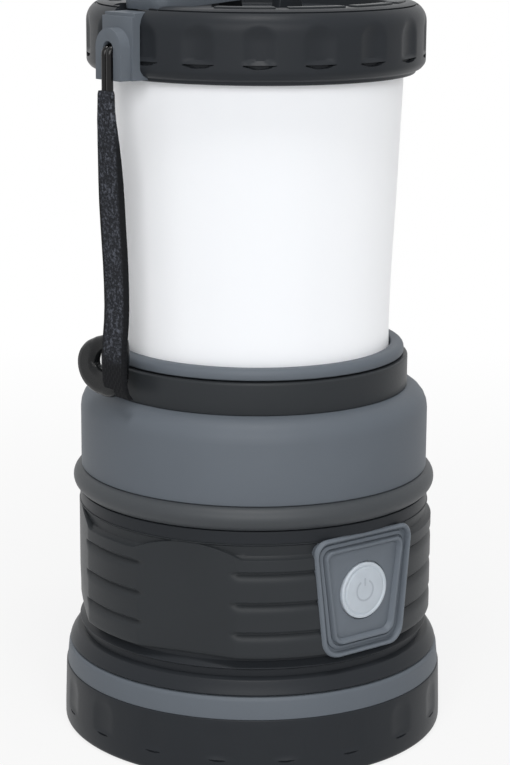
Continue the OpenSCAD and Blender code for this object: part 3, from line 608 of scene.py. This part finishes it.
class LANTERN_OT_globe(bpy.types.Operator):
    """Opal globe and the grey lip that carries it"""

    bl_idname = "lantern.globe"
    bl_label = "Globe"

    def execute(self, context):
        # The wall widens upwards in a gentle curve
        wall = ((33.55, 103), (33.66, 109), (33.86, 115), (34.13, 121.5), (34.44, 128), (34.75, 134),
                (35.0, 140), (35.25, 146), (35.55, 153.5), (35.87, 161), (36, 166))
        top = 171.7
        bm = turned([(31.8, GLOBE_LOW, 0), (33.6, GLOBE_LOW, 0.4), *((r, z, 0) for r, z in wall),
                     (36, top, 0), (34.2, top, 0), (34.1, LID_LOW, 0), (32.5, 128, 0)])
        piece(bm, "opal_globe", opal_polycarbonate, "globe", ["diffuser"])
        bm = turned([(32.4, 88.6, 0), (34.6, 88.6, 0.3), (34.6, 96.2, 0), (37.4, 96.2, 0.3),
                     (37.4, 98.8, 1.5), (34.05, 98.8, 0.4), (34.05, GLOBE_LOW, 0), (32.4, GLOBE_LOW, 0)])
        piece(bm, "globe_lip", satin_grey_abs, "globe", ["globe_ring"])
        return {"FINISHED"}


class LANTERN_OT_lid(bpy.types.Operator):
    """Fluted lid with its dished top, rim pads and loop ears"""

    bl_idname = "lantern.lid"
    bl_label = "Lid"
    # Rim pads: places round the rim, azimuth where the first begins, and the gap between two
    places, first, gap = 13, 9.5, 5

    def execute(self, context):
        self.shell()
        self.ears()
        self.pads()
        return {"FINISHED"}

    def shell(self):
        """Wall and dish, with rows close together where the slots and scoops begin"""
        rows = (168.6, 169.35, 169.45, 169.6, 169.75, 169.9, 170.05, 170.2, 170.28, 170.32, 170.6, 170.9,
                171.3, 171.9, 172.5, 173.1, 173.7, 174.3, 175, 175.6, 176.2, 176.8, 177.3)
        # The sloping lower edge, in two small steps
        lip = ((37.4, LID_LOW, 0.15), (38.8, 165.5, 0.3), (39.1, 166.3, 0.1), (40.2, 166.7, 0.4),
               (41.2, 167.9, 0.5))
        # The rounded edge, with the fine seam that runs round it
        full, sunk = 4.8, 4.4
        seam = [(55.5, full), (56, sunk), (61.5, sunk), (62, full)]
        bends = [(a, full) for a in range(0, 55, 9)] + seam + [(a, full) for a in (72, 81, 90)]
        rim, dish, ceiling = 182.7, 179.5, 177
        bm = turned([(36.6, LINER_TOP, 0), (36.6, LID_LOW, 0), *lip, *((LID_R, z, 0) for z in rows),
                     *round_stretch(36.5, 177.9, bends), (31.5, rim, 0.7), (31.5, dish, 0.5), (0, dish, 0),
                     (0, ceiling, 0), (33.7, ceiling, 0), (33.7, LINER_TOP, 0)], sizes().flutes * FLUTE_STEPS)
        scoop(bm, 39.5, 1, 170.3, 175.6, sizes().lid_flute, (3.7, 0.9, 1.1))
        lid = piece(bm, "lid", satin_black_abs, "globe", ["lid_shell"])
        # Room in the rim for the hang loop, then for the strap bracket
        for low, high in (((-8.2, -37.8, 180), (8.2, -27.5, 190)), ((-5.5, -44, 180), (5.5, -34, 190))):
            notch = block(low, high)
            notch.transform(turn_to(STRAP_AZ))
            cut(lid, notch)

    def ears(self):
        """Two ears that carry the hang loop"""
        bm = bmesh.new()
        for side in (-10.9, 10.9):
            one = hinge_ear(side, 3, LOOP_PIVOT, 3, 179.3, 4.2, 12, 0.4)
            one.transform(turn_to(STRAP_AZ))
            add_to(bm, one)
        piece(bm, "loop_ears", satin_black_abs, "globe", ())

    def pads(self):
        """Soft pads along the rim, with none beside the strap bracket"""
        bm = bmesh.new()
        step = 360 / self.places
        long = step - self.gap
        section = ((33.2, 182.6), (36.2, 182.6), (36.2, 183.1), (33.2, 183.1))
        for i in range(self.places):
            middle = self.first + step * (i + 0.5)
            if abs((middle - STRAP_AZ + 180) % 360 - 180) < step * 0.9:
                continue
            one = swept(section, middle - 90 - long / 2, long, 18)
            soften(one, 0.18 * MM, 40)
            add_to(bm, one)
        piece(bm, "rim_pads_soft", moulded_rubber, "globe", ["rim_pads"])


class LANTERN_OT_bracket(bpy.types.Operator):
    """Strap bracket with its eye, and the hang loop"""

    bl_idname = "lantern.bracket"
    bl_label = "Bracket and hang loop"

    def execute(self, context):
        bm = node_copy("strap_bracket")
        out = turn_to(STRAP_AZ) @ Vector((0, -1, 0))
        soften(bm, 0.45 * MM, 40, lambda e: min(v.co @ out for v in e.verts) > 41.9 * MM)
        piece(bm, "strap_eye_plate", satin_grey_abs, "globe", ["strap_bracket"])
        bm = node_copy("hang_loop")
        soften(bm, 0.7 * MM, 40)
        piece(bm, "hang_loop_bar", satin_grey_abs, "loop", ["hang_loop"])
        return {"FINISHED"}


class LANTERN_OT_strap(bpy.types.Operator):
    """Cord, webbing and moulded eye of the wrist strap"""

    bl_idname = "lantern.strap"
    bl_label = "Strap"

    def execute(self, context):
        self.cord()
        self.webbing()
        self.end_eye()
        return {"FINISHED"}

    def cord(self):
        """Two smooth strands, each turned round the pin"""
        bm = bmesh.new()
        for side in (-0.86, 0.86):
            one = bmesh.new()
            ring = bmesh.ops.create_circle(one, cap_ends=True, segments=16, radius=0.84 * MM)
            move = Matrix.Translation(Vector((side, -46.2, 162.5)) * MM)
            bmesh.ops.transform(one, matrix=move, verts=ring["verts"])
            top = bmesh.ops.extrude_face_region(one, geom=one.faces[:], use_keep_orig=True)
            ends = [v for v in top["geom"] if isinstance(v, bmesh.types.BMVert)]
            bmesh.ops.translate(one, verts=ends, vec=(0, 0, 9.2 * MM))
            caps = [f for f in top["geom"] if isinstance(f, bmesh.types.BMFace)]
            pin = Vector((side, -44.6, STRAP_PIN)) * MM
            bmesh.ops.spin(one, geom=caps, cent=pin, axis=(-1, 0, 0), dvec=(0, 0, 0),
                           angle=math.radians(300), steps=30, use_merge=False, use_duplicate=False)
            bmesh.ops.remove_doubles(one, verts=one.verts, dist=1e-7)
            bmesh.ops.recalc_face_normals(one, faces=one.faces)
            add_to(bm, one)
        bm.transform(turn_to(STRAP_AZ))
        piece(bm, "strap_cord_strands", coated_nylon, "strap", ["strap_cord"], 60)

    def webbing(self):
        """A woven band, folded and sewn narrow at its top"""
        wide = sizes().strap_width / 2
        # Distance from the axis, height, share of the full width and thickness, from the cord down
        line = [(46.6, 163.4, 0.5, 1.7), (46.6, 162.6, 0.54, 1.9), (46.6, 160.5, 0.56, 1.9),
                (46.58, 158.4, 0.6, 1.8), (46.5, 156.6, 0.66, 1.7), (46.3, 154.5, 0.72, 1.6),
                (46.0, 151, 0.82, 1.5), (45.7, 147, 0.9, 1.4), (45.4, 142, 0.97, 1.4), (45.15, 137, 1, 1.4),
                (44.85, 132, 1, 1.4), (44.5, 127, 1, 1.4), (44.2, 122, 0.99, 1.4), (44.0, 117, 0.98, 1.4),
                (43.95, 112, 0.97, 1.4), (44.1, 108.5, 0.97, 1.4), (44.4, 105.5, 0.97, 1.4),
                (44.7, 103, 0.97, 1.4), (44.85, 100, 0.97, 1.4), (44.85, 96.5, 0.97, 1.4),
                (44.6, 93.5, 0.97, 1.4), (44, 91.5, 0.97, 1.4), (43, 90.2, 0.97, 1.4)]
        bm = bmesh.new()
        layer = bm.loops.layers.uv.new("UVMap")
        r, z, share, thick = line[0]
        half, deep = wide / MM * share, thick / 2
        face = outline_face(bm, [((x * MM, -(r + y) * MM, z * MM), 0.5) for x, y in
                                 ((-half, -deep), (half, -deep), (half, deep), (-half, deep))])
        rest = face
        for (r0, _, s0, t0), (r1, z1, s1, t1) in zip(line, line[1:]):
            made = bmesh.ops.extrude_face_region(bm, geom=[rest], use_keep_orig=rest is face)
            verts = [v for v in made["geom"] if isinstance(v, bmesh.types.BMVert)]
            rest = next(f for f in made["geom"] if isinstance(f, bmesh.types.BMFace))
            for v in verts:
                v.co.x *= s1 / s0
                v.co.y = -(r1 * MM) + (v.co.y + r0 * MM) * t1 / t0
                v.co.z = z1 * MM
        bmesh.ops.recalc_face_normals(bm, faces=bm.faces)
        for f in bm.faces:
            for loop in f.loops:
                loop[layer].uv = (loop.vert.co.x + BAND_MIDDLE, BAND_LEVEL - loop.vert.co.z)
        bm.transform(turn_to(STRAP_AZ))
        piece(bm, "strap_woven", woven_polyester, "strap", ["strap_webbing", "strap_crimp"], 50)

    def end_eye(self):
        """A moulded eye that tapers round its hole and joins the webbing again"""
        # Sideways, height and radius, from the webbing round the hole and back to it
        path = [(0, 104.2, 2.6), (0, 101.5, 2.9), (-0.4, 98.5, 3.2), (-1.2, 95.2, 3.6), (-2.8, 93.3, 3.6),
                (-6, 92.8, 3.2), (-9.2, 93.5, 3.3), (-11.2, 95.1, 3.5), (-11.7, 97.3, 3.4),
                (-10.6, 99.6, 2.8), (-8.5, 101.4, 2.1), (-6.2, 102.6, 1.7), (-4, 103.4, 1.5)]
        curve = bpy.data.curves.new("strap_end_line", "CURVE")
        curve.dimensions = "3D"
        curve.bevel_depth = MM
        curve.bevel_resolution = 6
        curve.resolution_u = 8
        curve.use_fill_caps = True
        spline = curve.splines.new("BEZIER")
        spline.bezier_points.add(len(path) - 1)
        for point, (x, z, radius) in zip(spline.bezier_points, path):
            point.co = (x * MM, 0, z * MM)
            point.radius = radius
            point.handle_left_type = point.handle_right_type = "AUTO"
        line = bpy.data.objects.new("strap_end_line", curve)
        bpy.context.scene.collection.objects.link(line)
        bpy.context.view_layer.update()
        mesh = bpy.data.meshes.new_from_object(line.evaluated_get(bpy.context.evaluated_depsgraph_get()))
        bpy.data.objects.remove(line)
        bpy.data.curves.remove(curve)
        bm = bmesh.new()
        bm.from_mesh(mesh)
        bpy.data.meshes.remove(mesh)
        # Flattened on both faces, at its distance from the axis
        flat, out = 1.6 * MM, 43.3 * MM
        for v in bm.verts:
            v.co.y = max(-flat, min(flat, v.co.y * 0.75)) - out
        bmesh.ops.remove_doubles(bm, verts=bm.verts, dist=1e-6)
        bmesh.ops.recalc_face_normals(bm, faces=bm.faces)
        bm.transform(turn_to(STRAP_AZ))
        piece(bm, "strap_end_eye", polished_rubber, "strap", ["strap_end_loop"], 60)


class LANTERN_OT_shoulder(bpy.types.Operator):
    """Grey shoulder, black collar and the rubber bead under them"""

    bl_idname = "lantern.shoulder"
    bl_label = "Shoulder and collar"

    def execute(self, context):
        bm = turned([(41.2, SHOULDER_LOW, 0), (43.6, SHOULDER_LOW, 0.3), (43.6, SHOULDER_TOP, 6),
                     (36.8, SHOULDER_TOP, 0.3), (36.8, 85.6, 0), (41.2, 82, 0)])
        piece(bm, "shoulder", satin_grey_abs, "housing", ["shoulder_shell"])
        collar_top = 95.8
        bm = turned([(36.8, SHOULDER_TOP, 0), (38.4, SHOULDER_TOP, 0.15), (38.4, collar_top, 0.6),
                     (35.6, collar_top, 0.4), (35.6, 91, 0), (36.8, 91, 0)])
        piece(bm, "collar", moulded_rubber, "housing", ["collar_band"])
        bulge = round_stretch(42.6, 64.2, [(a, 3) for a in range(-90, 91, 10)])
        bm = turned([(TUBE_R, BEAD_LOW, 0), *bulge, (TUBE_R, SHOULDER_LOW, 0)])
        piece(bm, "bead", bumper_rubber, "housing", ["bumper_ring"])
        return {"FINISHED"}


class LANTERN_OT_jacket(bpy.types.Operator):
    """Ribbed grip jacket with flat arched panels, and the housing that shows above and below it"""

    bl_idname = "lantern.jacket"
    bl_label = "Grip jacket"
    # Radius of the ribs, heights of the grooves between them, azimuths of the panels
    crest = 45.15
    lines = (36, 43.4, 51)
    panels = (-21.5, -81.5, -141.5, 158.5)
    # A groove: half its floor, height of the lip above it and of the slope below, and the slope's bend
    floor, lip, fall, bend = 0.26, 0.7, 2.8, 2.8
    # A panel: radius of its curve, how far the curve's centre lies behind the axis, half its angle
    curve, behind, half = 108, 63.95, 16.5
    # Its arched top: height of the arch's centre, and its radius
    arch_z, arch_r = 26.4, 31.3
    # Heights of the top rib's shoulder, of the slope above it and of the neck
    shoulder, slope_low, neck = 54.3, 54.5, 57.5

    def execute(self, context):
        self.jacket()
        self.housing()
        return {"FINISHED"}

    def rows(self):
        """Heights of the rows of vertices up to the shoulder of the top rib, close together at each groove"""
        steps = (-3.2, -2.8, -2.3, -1.9, -1.5, -1.2, -0.95, -0.75, -0.55, -0.4, -0.25,
                 0.25, 0.28, 0.45, 0.7, 1.3, 2.2, 3.1)
        return sorted([30.1, 30.4, 31.2, 32, *(line + step for line in self.lines for step in steps)])

    def groove(self, z):
        """Depth from 0 on a rib to 1 in a groove, which has a sharp lip above it and a slope below."""
        for line in self.lines:
            if abs(z - line) < self.floor:
                return 1
            if 0 < z - line < self.lip:
                return 0.9 * (self.lip - z + line)
            if 0 < line - z < self.fall:
                return ((z - line + self.fall) / 2.55) ** self.bend
        return 0

    def flat(self, off, z):
        """Radius of a panel at an angle from its middle: nearly flat, and drawn in towards its foot."""
        turn = math.cos(math.radians(off)) * self.behind
        radius = math.sqrt(turn ** 2 + self.curve ** 2 - self.behind ** 2) - turn
        drawn = 0.6 * max(0, (40 - z) / 10) ** 1.5 * max(0, 1 - (off / self.half) ** 2)
        return min(self.crest, radius - drawn)

    def slope(self, z):
        """Radius above the top rib: a narrow ledge, then the neck under the jacket's rim."""
        if z < self.neck:
            return self.crest - 1.5 * min(1, (z - self.shoulder) / 0.9) ** 0.7
        return 43.65 + 1.3 * (z - self.neck)

    def shaped(self, azimuth, z):
        """Radius and height that a vertex of the plain sleeve moves to."""
        off = min(abs((azimuth - middle + 180) % 360 - 180) for middle in self.panels)
        if z < self.shoulder - 0.1:
            # Ribs fade out into the panels, and the lowest edge is rounded
            fade = min(1, max(0, (off - 13.8) / 4))
            sunk = self.groove(z) * fade * fade * (3 - 2 * fade) * sizes().rib_height / MM
            return self.flat(off, z) - sunk - 0.3 * max(0, (30.4 - z) / 0.5) ** 2, z
        if z > self.neck + 0.1:
            return 44.2 if z < JACKET_TOP - 0.05 else 43.95, z
        side = self.crest * math.sin(math.radians(min(off, 40)))
        edge = max(self.shoulder, self.arch_z + math.sqrt(self.arch_r ** 2 - side ** 2))
        top = self.flat(off, edge)
        if z < self.shoulder + 0.15:
            return top - (z - self.shoulder) * 1.2, edge + (z - self.shoulder)
        foot = min(edge + 0.2, 57.9)
        share = (z - self.slope_low) / (self.neck - self.slope_low)
        height = foot + (max(self.neck, foot + 0.02) - foot) * share
        return min(top - 0.15, self.slope(height)), height

    def jacket(self):
        """A plain sleeve whose rows are pressed into ribs and panels"""
        slope = (54.3, 54.4, 54.5, 54.75, 55, 55.25, 56, 56.8, 57.5, 57.95, 58.1)
        heights = [JACKET_LOW, *self.rows(), *slope, JACKET_TOP]
        sleeve = [(self.crest, z, 0) for z in heights]
        bm = turned([(TUBE_R, JACKET_LOW, 0), *sleeve, (TUBE_R, JACKET_TOP, 0)], 480)
        for v in bm.verts:
            r = math.hypot(v.co.x, v.co.y)
            if r > 44 * MM:
                radius, height = self.shaped(math.degrees(math.atan2(v.co.x, -v.co.y)), v.co.z / MM)
                v.co.xy *= radius * MM / r
                v.co.z = height * MM
        bmesh.ops.recalc_face_normals(bm, faces=bm.faces)
        jacket = piece(bm, "grip_jacket_ribbed", moulded_rubber, "housing", ["grip_jacket"],
                       28)
        cut(jacket, self.pocket(-0.75, 41))

    def housing(self):
        """Skirt, flare with its groove and recess, tube and bulkhead"""
        bay, neck, bulkhead, under = 39.4, 40.9, 78, 75.4
        flare = ((46.9, 21.3, 0.2), (46.45, 22.35, 0), (45.75, 23.45, 0), (44.95, 24.45, 0.3),
                 (43.4, 24.95, 0), (43.4, 26.6, 0), (44.5, 27.2, 0.3), (43.2, 28, 0), (42.6, 28.6, 0),
                 (42.6, JACKET_LOW, 0))
        bm = turned([(bay, 8.6, 0), (43.6, 8.6, 0.4), (43.6, 21.3, 0), *flare, (TUBE_R, JACKET_LOW, 0),
                     (TUBE_R, JACKET_TOP, 0), (44, JACKET_TOP, 0), (44, BEAD_LOW, 0.2), (TUBE_R, BEAD_LOW, 0),
                     (TUBE_R, SHOULDER_LOW, 0), (neck, SHOULDER_LOW, 0), (neck, bulkhead, 0),
                     (0, bulkhead, 0), (0, under, 0), (bay, under, 0)])
        housing = piece(bm, "housing_tube", satin_black_abs, "housing", ["battery_housing"], 28)
        cut(housing, self.pocket(-0.4, 40.5))

    def pocket(self, grow, out):
        """Solid that makes room for the bezel."""
        bm = bmesh.new()
        bezel_outline(bm, grow, out)
        thickened(bm, bm.faces[:], (0, -8 * MM, 0))
        bm.transform(turn_to(BUTTON_AZ))
        return bm


class LANTERN_OT_button(bpy.types.Operator):
    """Framed bezel, its plate and the power button"""

    bl_idname = "lantern.button"
    bl_label = "Bezel and button"

    def execute(self, context):
        # Growth of the outline and distance from the axis, from the back round the outer rim, over the groove
        # and its step, over the ridge and down to the plate
        rim = ((-0.8, 40.8), (-0.5, 43.2), (0, 44.35), (-0.1, 44.8), (-0.3, 45.1), (-0.55, 45.2),
               (-0.8, 45.08))
        groove = ((-1, 44.75), (-1.1, 43.5), (-1.7, 43.45), (-1.85, 43.9), (-2.55, 44.15), (-2.75, 43.5),
                  (-2.95, 43.5))
        ridge = ((-3.1, 44.65), (-3.3, 44.88), (-3.55, 44.9), (-3.8, 44.75), (-4.2, 43.9), (-4.4, 43.4),
                 (-4.45, 42.4))
        rings = rim + groove + ridge
        bm = bmesh.new()
        loops = []
        for grow, out in rings:
            before = set(bm.edges)
            face = bezel_outline(bm, grow, out)
            loops.append([e for e in bm.edges if e not in before])
            if (grow, out) not in (rings[0], rings[-1]):
                bmesh.ops.delete(bm, geom=[face], context="FACES_ONLY")
        for low, high in zip(loops, loops[1:]):
            bmesh.ops.bridge_loops(bm, edges=low + high)
        bmesh.ops.recalc_face_normals(bm, faces=bm.faces)
        curve_across(bm)
        bm.transform(turn_to(BUTTON_AZ))
        piece(bm, "button_frame", pale_grey_abs, "housing", ["button_bezel"])
        self.plate()
        self.button()
        return {"FINISHED"}

    def plate(self):
        """Sunken plate with the button's hole"""
        back = 42.75
        bm = bmesh.new()
        face = bezel_outline(bm, -4.35, back)
        bmesh.ops.delete(bm, geom=[face], context="FACES_ONLY")
        upright = Matrix.Rotation(math.radians(90), 4, "X")
        place = Matrix.Translation(Vector((0, -back, BUTTON_Z)) * MM) @ upright
        bmesh.ops.create_circle(bm, segments=72, radius=7.3 * MM, matrix=place)
        bmesh.ops.triangle_fill(bm, use_beauty=True, use_dissolve=False, edges=bm.edges[:],
                                normal=(0, -1, 0))
        thickened(bm, bm.faces[:], (0, -0.85 * MM, 0))
        soften(bm, 0.15 * MM, 50)
        curve_across(bm)
        bm.transform(turn_to(BUTTON_AZ))
        piece(bm, "button_plate_sunk", pale_grey_abs, "housing", ["button_plate"])

    def button(self):
        """Cap with a raised rim, and the faint power sign in it"""
        upright = Matrix.Rotation(math.radians(90), 4, "X")
        place = turn_to(BUTTON_AZ) @ Matrix.Translation((0, 0, BUTTON_Z * MM)) @ upright
        flange = ((0, 42.9, 0), (5.4, 42.9, 0), (5.4, 41.75, 0), (7.9, 41.75, 0.1), (7.9, 42.25, 0.1),
                  (7, 42.25, 0))
        face = ((7, 44, 0.4), (6.3, 44, 0.15), (6.05, 43.8, 0.1), (5.8, 43.8, 0.1), (5.55, 43.95, 0.15),
                (2.5, 44.05, 0), (0, 44.08, 0))
        bm = turned(flange + face, 96)
        bm.transform(place)
        piece(bm, "power_button_cap", button_silicone, "button", ["power_button"])
        # The sign: an open ring, and the stroke in its gap
        bm = swept(((2.3, 43.8), (2.75, 43.8), (2.75, 44.07), (2.3, 44.07)), 120, 300, 40)
        add_to(bm, block((-0.22, 1.2, 43.8), (0.22, 3.1, 44.09)))
        bmesh.ops.recalc_face_normals(bm, faces=bm.faces)
        bm.transform(place)
        piece(bm, "power_sign", button_ink, "button", ())


class LANTERN_OT_foot(bpy.types.Operator):
    """Fluted foot, its grey ring and the hook under it"""

    bl_idname = "lantern.foot"
    bl_label = "Foot"

    def execute(self, context):
        # Rows of the wall, close together where the slots and scoops begin
        rows = (4.6, 4.7, 4.85, 5, 5.12, 5.18, 5.5, 6, 6.4, 7, 7.6, 8.2, 8.8, 9.4, 10, 10.6, 11.2, 11.8,
                12.4, 13, 13.6)
        wall = [(48.25 - 0.03 * (z - 4.9), z, 0) for z in rows]
        recess, ceiling, plate = 38.5, 6, 8
        bm = turned([(recess, 0, 0.3), (48.3, 0, 1.3), (48.28, 3.5, 0), *wall, (47.9, FOOT_TOP, 0.25),
                     (FOOT_IN_R, FOOT_TOP, 0), (FOOT_IN_R, plate, 0), (0, plate, 0), (0, ceiling, 0),
                     (recess, ceiling, 0.5)], sizes().flutes * FLUTE_STEPS)
        scoop(bm, 46, 180 / sizes().flutes, 5.15, 10.4, sizes().foot_flute, (1.8, 0.45, 0.5))
        for side in (-6.7, 6.7):
            add_to(bm, hinge_ear(side, 2.8, HOOK_PIVOT, 2.2, 6.2, 2.2, 15, 0.25))
        piece(bm, "foot", satin_black_abs, "base", ["foot_cover"], 28)
        ring_top = 20.9
        bm = turned([(FOOT_IN_R, FOOT_TOP, 0), (47.7, FOOT_TOP, 0.2), (47.2, 20.3, 0.4),
                     (46.6, ring_top, 0.3), (FOOT_IN_R, ring_top, 0)])
        piece(bm, "foot_ring_grey", satin_grey_abs, "base", ["foot_ring"])
        bm = node_copy("base_hook")
        soften(bm, 0.5 * MM, 40)
        piece(bm, "base_hook_bar", satin_grey_abs, "hook", ["base_hook"])
        return {"FINISHED"}


class LANTERN_OT_inside(bpy.types.Operator):
    """Finishes of the pins, and of the cells, boards and lamps inside"""

    bl_idname = "lantern.inside"
    bl_label = "Inner parts"

    def execute(self, context):
        kept = {
            drawn_steel: ("strap_pin", "loop_pin", "hook_pin", "lid_screws", "floor_screws"),
            rolled_brass: ("upper_contacts", "lower_contacts"),
            cast_aluminium: ("heat_sink",),
            silvered_plastic: ("reflector_cone",),
            board_laminate: ("switch_board", "driver_board"),
            component_epoxy: ("tact_switch", "driver_parts"),
            cell_film: ("cell_1", "cell_2", "cell_3"),
            lamp_phosphor: ("light_chips",),
            white_abs: ("light_board", "light_floor", "lid_liner"),
            satin_black_abs: ("cell_cradle", "battery_plate"),
            moulded_rubber: ("base_seal",),
        }
        for maker, names in kept.items():
            for name in names:
                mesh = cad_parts[name].data
                mesh.materials.clear()
                mesh.materials.append(finish(maker))
        return {"FINISHED"}


class LANTERN_OT_stage(bpy.types.Operator):
    """Floor, soft light and the camera"""

    bl_idname = "lantern.stage"
    bl_label = "Stage"

    def execute(self, context):
        self.floor()
        self.light()
        self.camera(context)
        return {"FINISHED"}

    def floor(self):
        """A sheet of white paper just under the foot"""
        bm = bmesh.new()
        bmesh.ops.create_grid(bm, x_segments=4, y_segments=4, size=3.0)
        bmesh.ops.translate(bm, verts=bm.verts, vec=(0, 0, -0.2 * MM))
        mesh = bpy.data.meshes.new("studio_floor")
        bm.to_mesh(mesh)
        bm.free()
        made, tree, coords = new_material("studio_paper")
        # Matt white paper: it glows to the camera so that it reads as white, and keeps the lantern's shadow
        fibre = node(tree, "ShaderNodeTexNoise", None,
                     {"Vector": coords.outputs["Object"], "Scale": 1 / (2 * MM)})
        tone = node(tree, "ShaderNodeMix", {"data_type": "RGBA"},
                    {"Factor": fibre.outputs["Fac"], "A": (0.9, 0.9, 0.9, 1), "B": (0.93, 0.93, 0.93, 1)})
        matt = node(tree, "ShaderNodeBsdfDiffuse", None, {"Color": tone.outputs["Result"]})
        glow = node(tree, "ShaderNodeEmission", None, {"Color": (1, 1, 1, 1), "Strength": 1.0})
        away = node(tree, "ShaderNodeVectorMath", {"operation": "LENGTH"}, {0: coords.outputs["Object"]})
        fade = node(tree, "ShaderNodeMapRange", None,
                    {"Value": away.outputs["Value"], "From Min": 0.1, "From Max": 0.45,
                     "To Min": 0.84, "To Max": 1.0})
        share = node(tree, "ShaderNodeMath", {"operation": "MULTIPLY"},
                     {0: seen_rays(tree), 1: fade.outputs["Result"]})
        mix = node(tree, "ShaderNodeMixShader", None,
                   {0: share.outputs[0], 1: matt.outputs[0], 2: glow.outputs[0]})
        node(tree, "ShaderNodeOutputMaterial", None, {"Surface": mix.outputs[0]})
        mesh.materials.append(made)
        floor = bpy.data.objects.new("studio_floor", mesh)
        bpy.context.scene.collection.objects.link(floor)

    def light(self):
        """A broad softbox in front, a small one above, and a faint glow all round"""
        scene = bpy.context.scene
        world = bpy.data.worlds.new("studio_world")
        scene.world = world
        world.use_nodes = True
        tree = world.node_tree
        tree.nodes.clear()
        seen = seen_rays(tree)
        soft = node(tree, "ShaderNodeBackground", None, {"Color": (0.97, 0.98, 1, 1), "Strength": 0.16})
        white = node(tree, "ShaderNodeBackground", None, {"Color": (1, 1, 1, 1), "Strength": 1.0})
        mix = node(tree, "ShaderNodeMixShader", None, {0: seen, 1: soft.outputs[0], 2: white.outputs[0]})
        node(tree, "ShaderNodeOutputWorld", None, {"Surface": mix.outputs[0]})
        lamps = (
            ("front_softbox", (0, -1.25, 0.65), (1.2, 0.7), 10),
            ("top_softbox", (0, -0.3, 1.1), (0.3, 0.3), 4.6),
        )
        for name, where, size, power in lamps:
            lamp = bpy.data.lights.new(name, "AREA")
            lamp.shape = "RECTANGLE"
            lamp.size, lamp.size_y = size
            lamp.energy = power
            lamp.color = (1.0, 0.99, 0.98)
            made = bpy.data.objects.new(name, lamp)
            scene.collection.objects.link(made)
            made.location = where
            made.rotation_euler = (Vector((0, 0, 0.1)) - Vector(where)).to_track_quat("-Z", "Y").to_euler()

    def camera(self, context):
        """A long lens that looks down a little, with a slight roll"""
        tilt, roll = 13.11, 0.36
        lens = bpy.data.cameras.new("camera")
        lens.lens = 106.66
        lens.sensor_width = 36
        lens.clip_start = 0.01
        made = bpy.data.objects.new("camera", lens)
        context.scene.collection.objects.link(made)
        made.location = (0.00021, -0.5565, 0.2168)
        upright = Matrix.Rotation(math.radians(90 - tilt), 4, "X")
        turn = upright @ Matrix.Rotation(math.radians(roll), 4, "Z")
        made.rotation_euler = turn.to_euler()
        context.scene.camera = made
        context.scene.view_settings.view_transform = "Standard"


def seen_rays(tree):
    """One for rays from the camera, off gloss and through glass, so that all of them see white."""
    path = node(tree, "ShaderNodeLightPath")
    shiny = node(tree, "ShaderNodeMath", {"operation": "MAXIMUM"},
                 {0: path.outputs["Is Camera Ray"], 1: path.outputs["Is Glossy Ray"]})
    clear = node(tree, "ShaderNodeMath", {"operation": "MAXIMUM"},
                 {0: shiny.outputs[0], 1: path.outputs["Is Transmission Ray"]})
    return clear.outputs[0]


OPERATORS = (
    LANTERN_OT_globe,
    LANTERN_OT_lid,
    LANTERN_OT_bracket,
    LANTERN_OT_strap,
    LANTERN_OT_shoulder,
    LANTERN_OT_jacket,
    LANTERN_OT_button,
    LANTERN_OT_foot,
    LANTERN_OT_inside,
    LANTERN_OT_stage,
)


class LANTERN_PT_panel(bpy.types.Panel):
    """The lantern's sizes, colours and pieces"""

    bl_idname = "LANTERN_PT_panel"
    bl_label = "Camping lantern"
    bl_space_type = "VIEW_3D"
    bl_region_type = "UI"
    bl_category = "Lantern"

    def draw(self, context):
        for group in (sizes(), colours()):
            box = self.layout.box()
            for key in group.bl_rna.properties.keys():
                if key not in ("rna_type", "name"):
                    box.prop(group, key)
        for operator in OPERATORS:
            self.layout.operator(operator.bl_idname)


CLASSES = (LanternSizes, LanternColours, *OPERATORS, LANTERN_PT_panel)


def register():
    for made in CLASSES:
        bpy.utils.register_class(made)
    bpy.types.Scene.lantern_sizes = bpy.props.PointerProperty(type=LanternSizes)
    bpy.types.Scene.lantern_colours = bpy.props.PointerProperty(type=LanternColours)


def unregister():
    del bpy.types.Scene.lantern_colours
    del bpy.types.Scene.lantern_sizes
    for made in reversed(CLASSES):
        bpy.utils.unregister_class(made)


def main():
    register()
    for operator in OPERATORS:
        group, name = operator.bl_idname.split(".")
        if getattr(getattr(bpy.ops, group), name)() != {"FINISHED"}:
            raise RuntimeError(f"{operator.bl_idname} didn't finish")
    bpy.context.view_layer.update()


if __name__ == "__main__":
    main()
